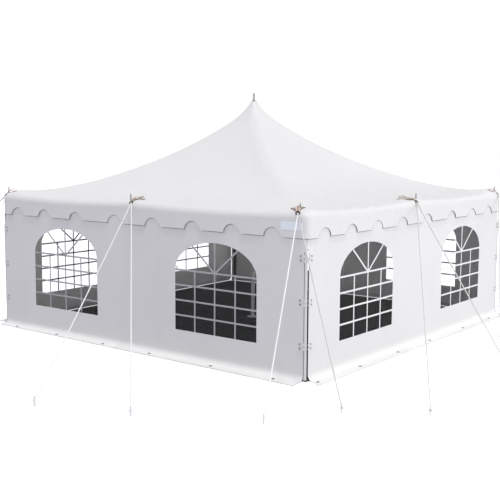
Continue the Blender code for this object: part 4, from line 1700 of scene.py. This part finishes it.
@dataclass
class GuyRope:
    """One taut rope from a ring to its stake: three laid strands, a tied loop and the stake's top.

    A knot is given by its loop's radius and its strand's.
    """

    fitting: EaveFitting
    number: int
    radius: float = 0.0095
    lay: float = 0.065
    droop: float = 0.012
    ring_knot: Pair = (0.011, 0.0055)
    whipping: Pair = (0.0085, 0.004)
    whipping_at: tuple = (0.035, 0.047, 0.059)
    stake_knot: Pair = (0.0145, 0.0052)
    stake_knot_at: tuple = (0.052, 0.061, 0.070)
    tie_height: float = 0.062
    stake_radius: float = 0.010
    stake_height: float = 0.12

    @property
    def label(self) -> str:
        """Give the rope's name as the solids write it."""
        return f"guy_rope_{self.fitting.spot.label}_{self.number + 1}"

    def at_stake(self, height: float) -> Array:
        """Give the point of the stake's axis at a height."""
        return np.array([*self.fitting.spot.stakes[self.number], height])

    def ends(self) -> tuple[Array, Array]:
        """Give the rope's upper and lower ends."""
        return self.fitting.rope_start(self.number), self.at_stake(self.tie_height)

    def section(self) -> Array:
        """Give the section of three strands: a circle whose radius swells three times.

        Returns:
            Nine points.
        """
        angle = full_turn(9)
        radius = self.radius * (0.92 + 0.10 * np.cos(3 * angle))
        return stack(radius * np.cos(angle), radius * np.sin(angle))

    def line(self) -> Shell:
        """Make the rope, straight but for a slight droop, turned once for each lay's length.

        Returns:
            The rope.
        """
        start, end = self.ends()
        path = on_line(start, end, 360)
        share = np.linspace(0, 1, 360)
        path[:, 2] -= self.droop * 4 * share * (1 - share)
        turns = np.linalg.norm(end - start) / self.lay
        return sweep(path, self.section(), twist=2 * np.pi * share * turns)

    def knots(self) -> Shell:
        """Make the tied ends: a loop round the ring, and whipping turns above it and at the stake.

        Returns:
            The loops as one shell.
        """
        start, end = self.ends()
        way = unit(end - start)
        side = unit(np.cross(way, UP))
        over = np.cross(side, way)
        radius, strand = self.ring_knot
        turns = loop(start, radius * way, radius * over, 16)
        shells = [sweep(turns, circle(strand, 7), up=side, closed=True)]
        radius, strand = self.whipping
        for offset in self.whipping_at:
            turns = loop(start + way * offset, radius * side, radius * over, 16)
            shells.append(sweep(turns, circle(strand, 6), up=way, closed=True))
        radius, strand = self.stake_knot
        for height in self.stake_knot_at:
            turns = loop(self.at_stake(height), radius * EAST, radius * NORTH, 16)
            shells.append(sweep(turns, circle(strand, 7), closed=True))
        return join(shells)

    def stake(self) -> Shell:
        """Make the stake's part above the ground: a round bar with a domed, mushroomed head.

        Returns:
            The stake.
        """
        r, h = self.stake_radius, self.stake_height
        profile = [(0, h), (0.009, h), (0.0145, h - 0.002), (0.017, h - 0.005), (0.0165, h - 0.009),
                   (r, h - 0.013), (r, 0.02), (r * 1.02, 0.0), (0, 0)]
        return lathe(profile, 20, self.at_stake(0.0))

    def build(self, finishes: Finishes) -> None:
        """Make the rope, its knots and its stake, in place of the solid.

        Args:
            finishes: the tent's finishes.
        """
        # painted shade: the ropes out to the two sides take the greyed rope
        out_x, out_y, _ = np.abs(self.at_stake(0.0))
        rope = finishes.painted_shade_rope if out_x > out_y else finishes.rope
        make_piece(f"{self.label}_line", self.line(), (rope,), [self.label], 80)
        make_piece(f"{self.label}_knots", self.knots(), (rope,), smooth=80)
        make_piece(f"{self.label}_stake", self.stake(), (finishes.stake,), smooth=35)


@dataclass
class CornerTies:
    """The walls' ties at a side's right corner: eyelets in both walls' edges and cords round the pole."""

    side: Side
    form: TentForm = FORM
    heights: tuple = (1.62, 1.05, 0.48)
    inset: float = 0.10
    pair: float = 0.055
    proud: float = 0.004
    arc_in: float = 0.055
    arc_radius: float = 0.062
    cord_radius: float = 0.0028
    toggle_in: float = 0.035
    toggle_out: float = 0.006
    toggle_half: float = 0.019
    toggle_radius: float = 0.0058
    eyelet_radius: float = 0.0095
    eyelet_wire: float = 0.0042

    def cord(self, level: float) -> Shell:
        """Make one cord, from an eyelet of the front wall round the corner to one of the right wall.

        Args:
            level: its height.

        Returns:
            The cord.
        """
        half, out = self.form.half, self.form.half + self.proud
        angle, middle = np.linspace(0, np.pi / 2, 9), half - self.arc_in
        east, south = self.arc_radius * np.sin(angle), self.arc_radius * np.cos(angle)
        arc = stack(middle + east, -middle - south, level)
        front = on_line((half - self.inset, -out, level), (half - 0.07, -out - 0.003, level), 6)
        right = on_line((out + 0.003, 0.07 - half, level), (out, self.inset - half, level), 6)
        return sweep(np.concatenate([front, arc, right]), circle(self.cord_radius, 7))

    def toggle(self, level: float) -> Shell:
        """Make a small turned toggle, thicker in its middle, standing on the cord.

        Args:
            level: its height.

        Returns:
            The toggle.
        """
        share = np.linspace(-1, 1, 9)
        x, y = self.form.half - self.toggle_in, -self.form.half - self.proud - self.toggle_out
        size = np.sqrt(np.maximum(0.12, 1 - 0.75 * share ** 2))
        path = stack(x, y, level + self.toggle_half * share)
        return sweep(path, circle(self.toggle_radius, 9), up=NORTH, scale=size)

    def eyelets(self, level: float) -> list[Shell]:
        """Make the two eyelets of a cord: a small flat ring in each wall's edge.

        Args:
            level: their height.

        Returns:
            A shell for each ring.
        """
        out, back = self.form.half + self.proud - 0.001, self.form.half - self.inset
        shells = []
        for middle, facing in (((back, -out, level), -NORTH), ((out, -back, level), EAST)):
            across, up = self.eyelet_radius * np.cross(facing, UP), self.eyelet_radius * UP
            ring = loop(np.array(middle), across, up, 14)
            shells.append(sweep(ring, circle(self.eyelet_wire, 6, 0.5), up=facing, closed=True))
        return shells

    def build(self, finishes: Finishes) -> None:
        """Make the cords with their toggles, and the eyelets.

        Args:
            finishes: the tent's finishes.
        """
        levels = [level for height in self.heights for level in (height, height - self.pair)]
        cords = join([shell for level in levels for shell in (self.cord(level), self.toggle(level))])
        rings = join([shell for level in levels for shell in self.eyelets(level)])
        name = self.side.label
        make_piece(f"corner_ties_{name}", cords.turned(self.side), (finishes.cord,), smooth=70)
        make_piece(f"corner_eyelets_{name}", rings.turned(self.side), (finishes.eyelet,))


@dataclass
class PeakCap:
    """The peak round the centre pole's spike: a white cone of doubled vinyl and a dark plate.

    Both are profiles of radius and height over the peak.
    """

    form: TentForm = FORM
    cone: tuple = ((0, 0.007), (0.030, 0.007), (0.042, 0.005), (0.048, 0.0), (0.050, -0.008),
                   (0.046, -0.012), (0, -0.012))
    plate: tuple = ((0, 0.0145), (0.022, 0.0145), (0.032, 0.013), (0.0355, 0.0105), (0.034, 0.0080),
                    (0.026, 0.0072), (0, 0.0072))

    def build(self, finishes: Finishes) -> None:
        """Make the cone and the plate round the pole's spike.

        Args:
            finishes: the tent's finishes.
        """
        top = (self.form.midline, 0.0, self.form.peak)
        make_piece("peak_cone", lathe(self.cone, 36, top), (finishes.roof,), smooth=70)
        make_piece("peak_plate", lathe(self.plate, 32, top), (finishes.black_steel,),
                   smooth=40)


@dataclass
class Poles:
    """The poles keep their solids' shapes and get their finish."""

    def build(self, finishes: Finishes) -> None:
        """Dress each pole.

        Args:
            finishes: the tent's finishes.
        """
        for name in sorted(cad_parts):
            if "pole" in name:
                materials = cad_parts[name].data.materials
                materials.clear()
                materials.append(finishes.centre if name == "centre_pole" else finishes.pole)
                log.info("%s: dressed", name)


@dataclass
class BlankPatch:
    """The bare patch on the front valance near the near corner."""

    form: TentForm = FORM
    left: float = 2.63
    right: float = 2.98
    low: float = 1.945
    high: float = 2.05
    proud: float = 0.0022
    thick: float = 0.0015

    def build(self, finishes: Finishes) -> None:
        """Make the patch as a thin sheet on the valance.

        Args:
            finishes: the tent's finishes.
        """
        x = np.linspace(self.left, self.right, 12)[None, :]
        z = np.linspace(self.low, self.high, 6)[:, None]
        off = Canopy().stand(Side.FRONT, x + 0 * z, z + 0 * x) + self.proud
        place = x / self.form.rim
        out = (self.form.rim + off) * self.form.bow(place, np.ones_like(place))
        shell = grid(stack(place * out, -out, z))
        patch = make_piece("blank_patch", shell, (finishes.label,), thick=self.thick)


# The studio


def aim(item: bpy.types.Object, way: Sequence[float]) -> None:
    """Turn an object so that its +Z points a way."""
    item.rotation_mode = "QUATERNION"
    item.rotation_quaternion = Vector(way).to_track_quat("Z", "Y")


@dataclass
class Studio:
    """The camera at the photograph's place, and its light over a white floor.

    The light is a soft high sun and a long low softbox at the right. Angles are in degrees.
    """

    azimuth: float = 37.5445
    pitch: float = 6.8875
    roll: float = 0.2910
    eye: tuple = (9.4589, -12.5776, 3.0882)
    focal_pixels: float = 915.44
    picture_pixels: float = 500
    sensor: float = 36
    sky: float = 0.63
    sky_colour: tuple = (0.975, 0.965, 1.06, 1.0)
    sun_way: tuple = (0.17, -0.10, 1.0)
    sun_strength: float = 1.72
    sun_angle: float = 4.0
    sun_colour: tuple = (1.0, 0.998, 0.93)
    box_place: tuple = (12.5, 2.0, 0.9)
    box_size: tuple = (16.0, 1.8)
    box_power: float = 400.0
    box_colour: tuple = (0.988, 1.0, 0.95)
    floor_rings: tuple = (0.01, 3.0, 8.0, 20.0, 60.0)
    floor_drop: float = 0.0006

    def camera(self) -> None:
        """Set the camera: looking along its azimuth, pitched down, rolled a little."""
        az, pitch, roll = (math.radians(v) for v in (self.azimuth, self.pitch, self.roll))
        ahead = Vector((-math.sin(az) * math.cos(pitch), math.cos(az) * math.cos(pitch), -math.sin(pitch)))
        right = ahead.cross(Vector((0, 0, 1))).normalized()
        up = right.cross(ahead)
        across = right * math.cos(roll) + up * math.sin(roll)
        above = -right * math.sin(roll) + up * math.cos(roll)
        data = bpy.data.cameras.new("camera")
        data.sensor_width = self.sensor
        data.lens = self.focal_pixels * self.sensor / self.picture_pixels
        camera = add_object("camera", data)
        place = Matrix((across, above, -ahead)).transposed().to_4x4()
        place.translation = Vector(self.eye)
        camera.matrix_world = place
        bpy.context.scene.camera = camera

    def lamps(self) -> None:
        """Make the sun and the softbox."""
        sun = bpy.data.lights.new("sun", "SUN")
        sun.energy, sun.angle, sun.color = self.sun_strength, math.radians(self.sun_angle), self.sun_colour
        aim(add_object("sun", sun), self.sun_way)
        box = bpy.data.lights.new("softbox", "AREA")
        box.shape = "RECTANGLE"
        box.size, box.size_y = self.box_size
        box.energy, box.color = self.box_power, self.box_colour
        lamp = add_object("softbox", box)
        lamp.location = self.box_place
        aim(lamp, (1.0, 0.0, 0.0))

    def world(self) -> None:
        """Make the sky; it is seen white and lights more softly than it looks."""
        world = bpy.data.worlds.new("studio")
        bpy.context.scene.world = world
        world.use_nodes = True
        tree = world.node_tree
        seen = add_node(tree, "ShaderNodeLightPath").outputs["Is Camera Ray"]
        level = add_node(tree, "ShaderNodeMapRange", {"To Min": self.sky, "To Max": 1.0}, {"Value": seen})
        tone = add_node(tree, "ShaderNodeMixRGB",
                        {"Color1": self.sky_colour, "Color2": (1.0, 1.0, 1.0, 1.0)}, {"Fac": seen})
        shader = tree.nodes["Background"]
        tree.links.new(tone.outputs[0], shader.inputs["Color"])
        tree.links.new(level.outputs[0], shader.inputs["Strength"])
        bpy.context.scene.view_settings.view_transform = "Standard"

    def floor(self, finishes: Finishes) -> None:
        """Lay the floor as a wide disc of rings.

        Args:
            finishes: the scene's finishes.
        """
        radius, angle = np.array(self.floor_rings)[::-1, None], full_turn(64)
        shell = grid(stack(radius * np.cos(angle), radius * np.sin(angle), -self.floor_drop), wrap=True)
        mesh = bpy.data.meshes.new("floor")
        mesh.from_pydata(shell.points, [], shell.faces)
        mesh.materials.append(finishes.floor)
        add_object("floor", mesh)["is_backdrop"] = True

    def build(self, finishes: Finishes) -> None:
        """Make the camera, the lights and the floor.

        Args:
            finishes: the scene's finishes.
        """
        self.camera()
        self.lamps()
        self.world()
        self.floor(finishes)


def corners(box: Sequence[Any]) -> list[list[float]]:
    """Give a box as plain lists of numbers."""
    return [[float(v) for v in corner] for corner in box]


def main() -> None:
    """Build every piece in order."""
    logging.basicConfig(level=logging.INFO, format="%(name)s: %(message)s")
    solids = corners(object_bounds())
    finishes = Finishes()
    Studio().build(finishes)
    Canopy().build(finishes)
    for side in Side:
        SideWall(side).build(finishes)
        CornerTies(side).build(finishes)
    Poles().build(finishes)
    PeakCap().build(finishes)
    BlankPatch().build(finishes)
    for spot in Spot:
        fitting = EaveFitting(spot)
        fitting.build(finishes)
        for number in (0, 1):
            GuyRope(fitting, number).build(finishes)
    {"solids": solids, "dressed": corners(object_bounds())}


if __name__ == "__main__":
    main()
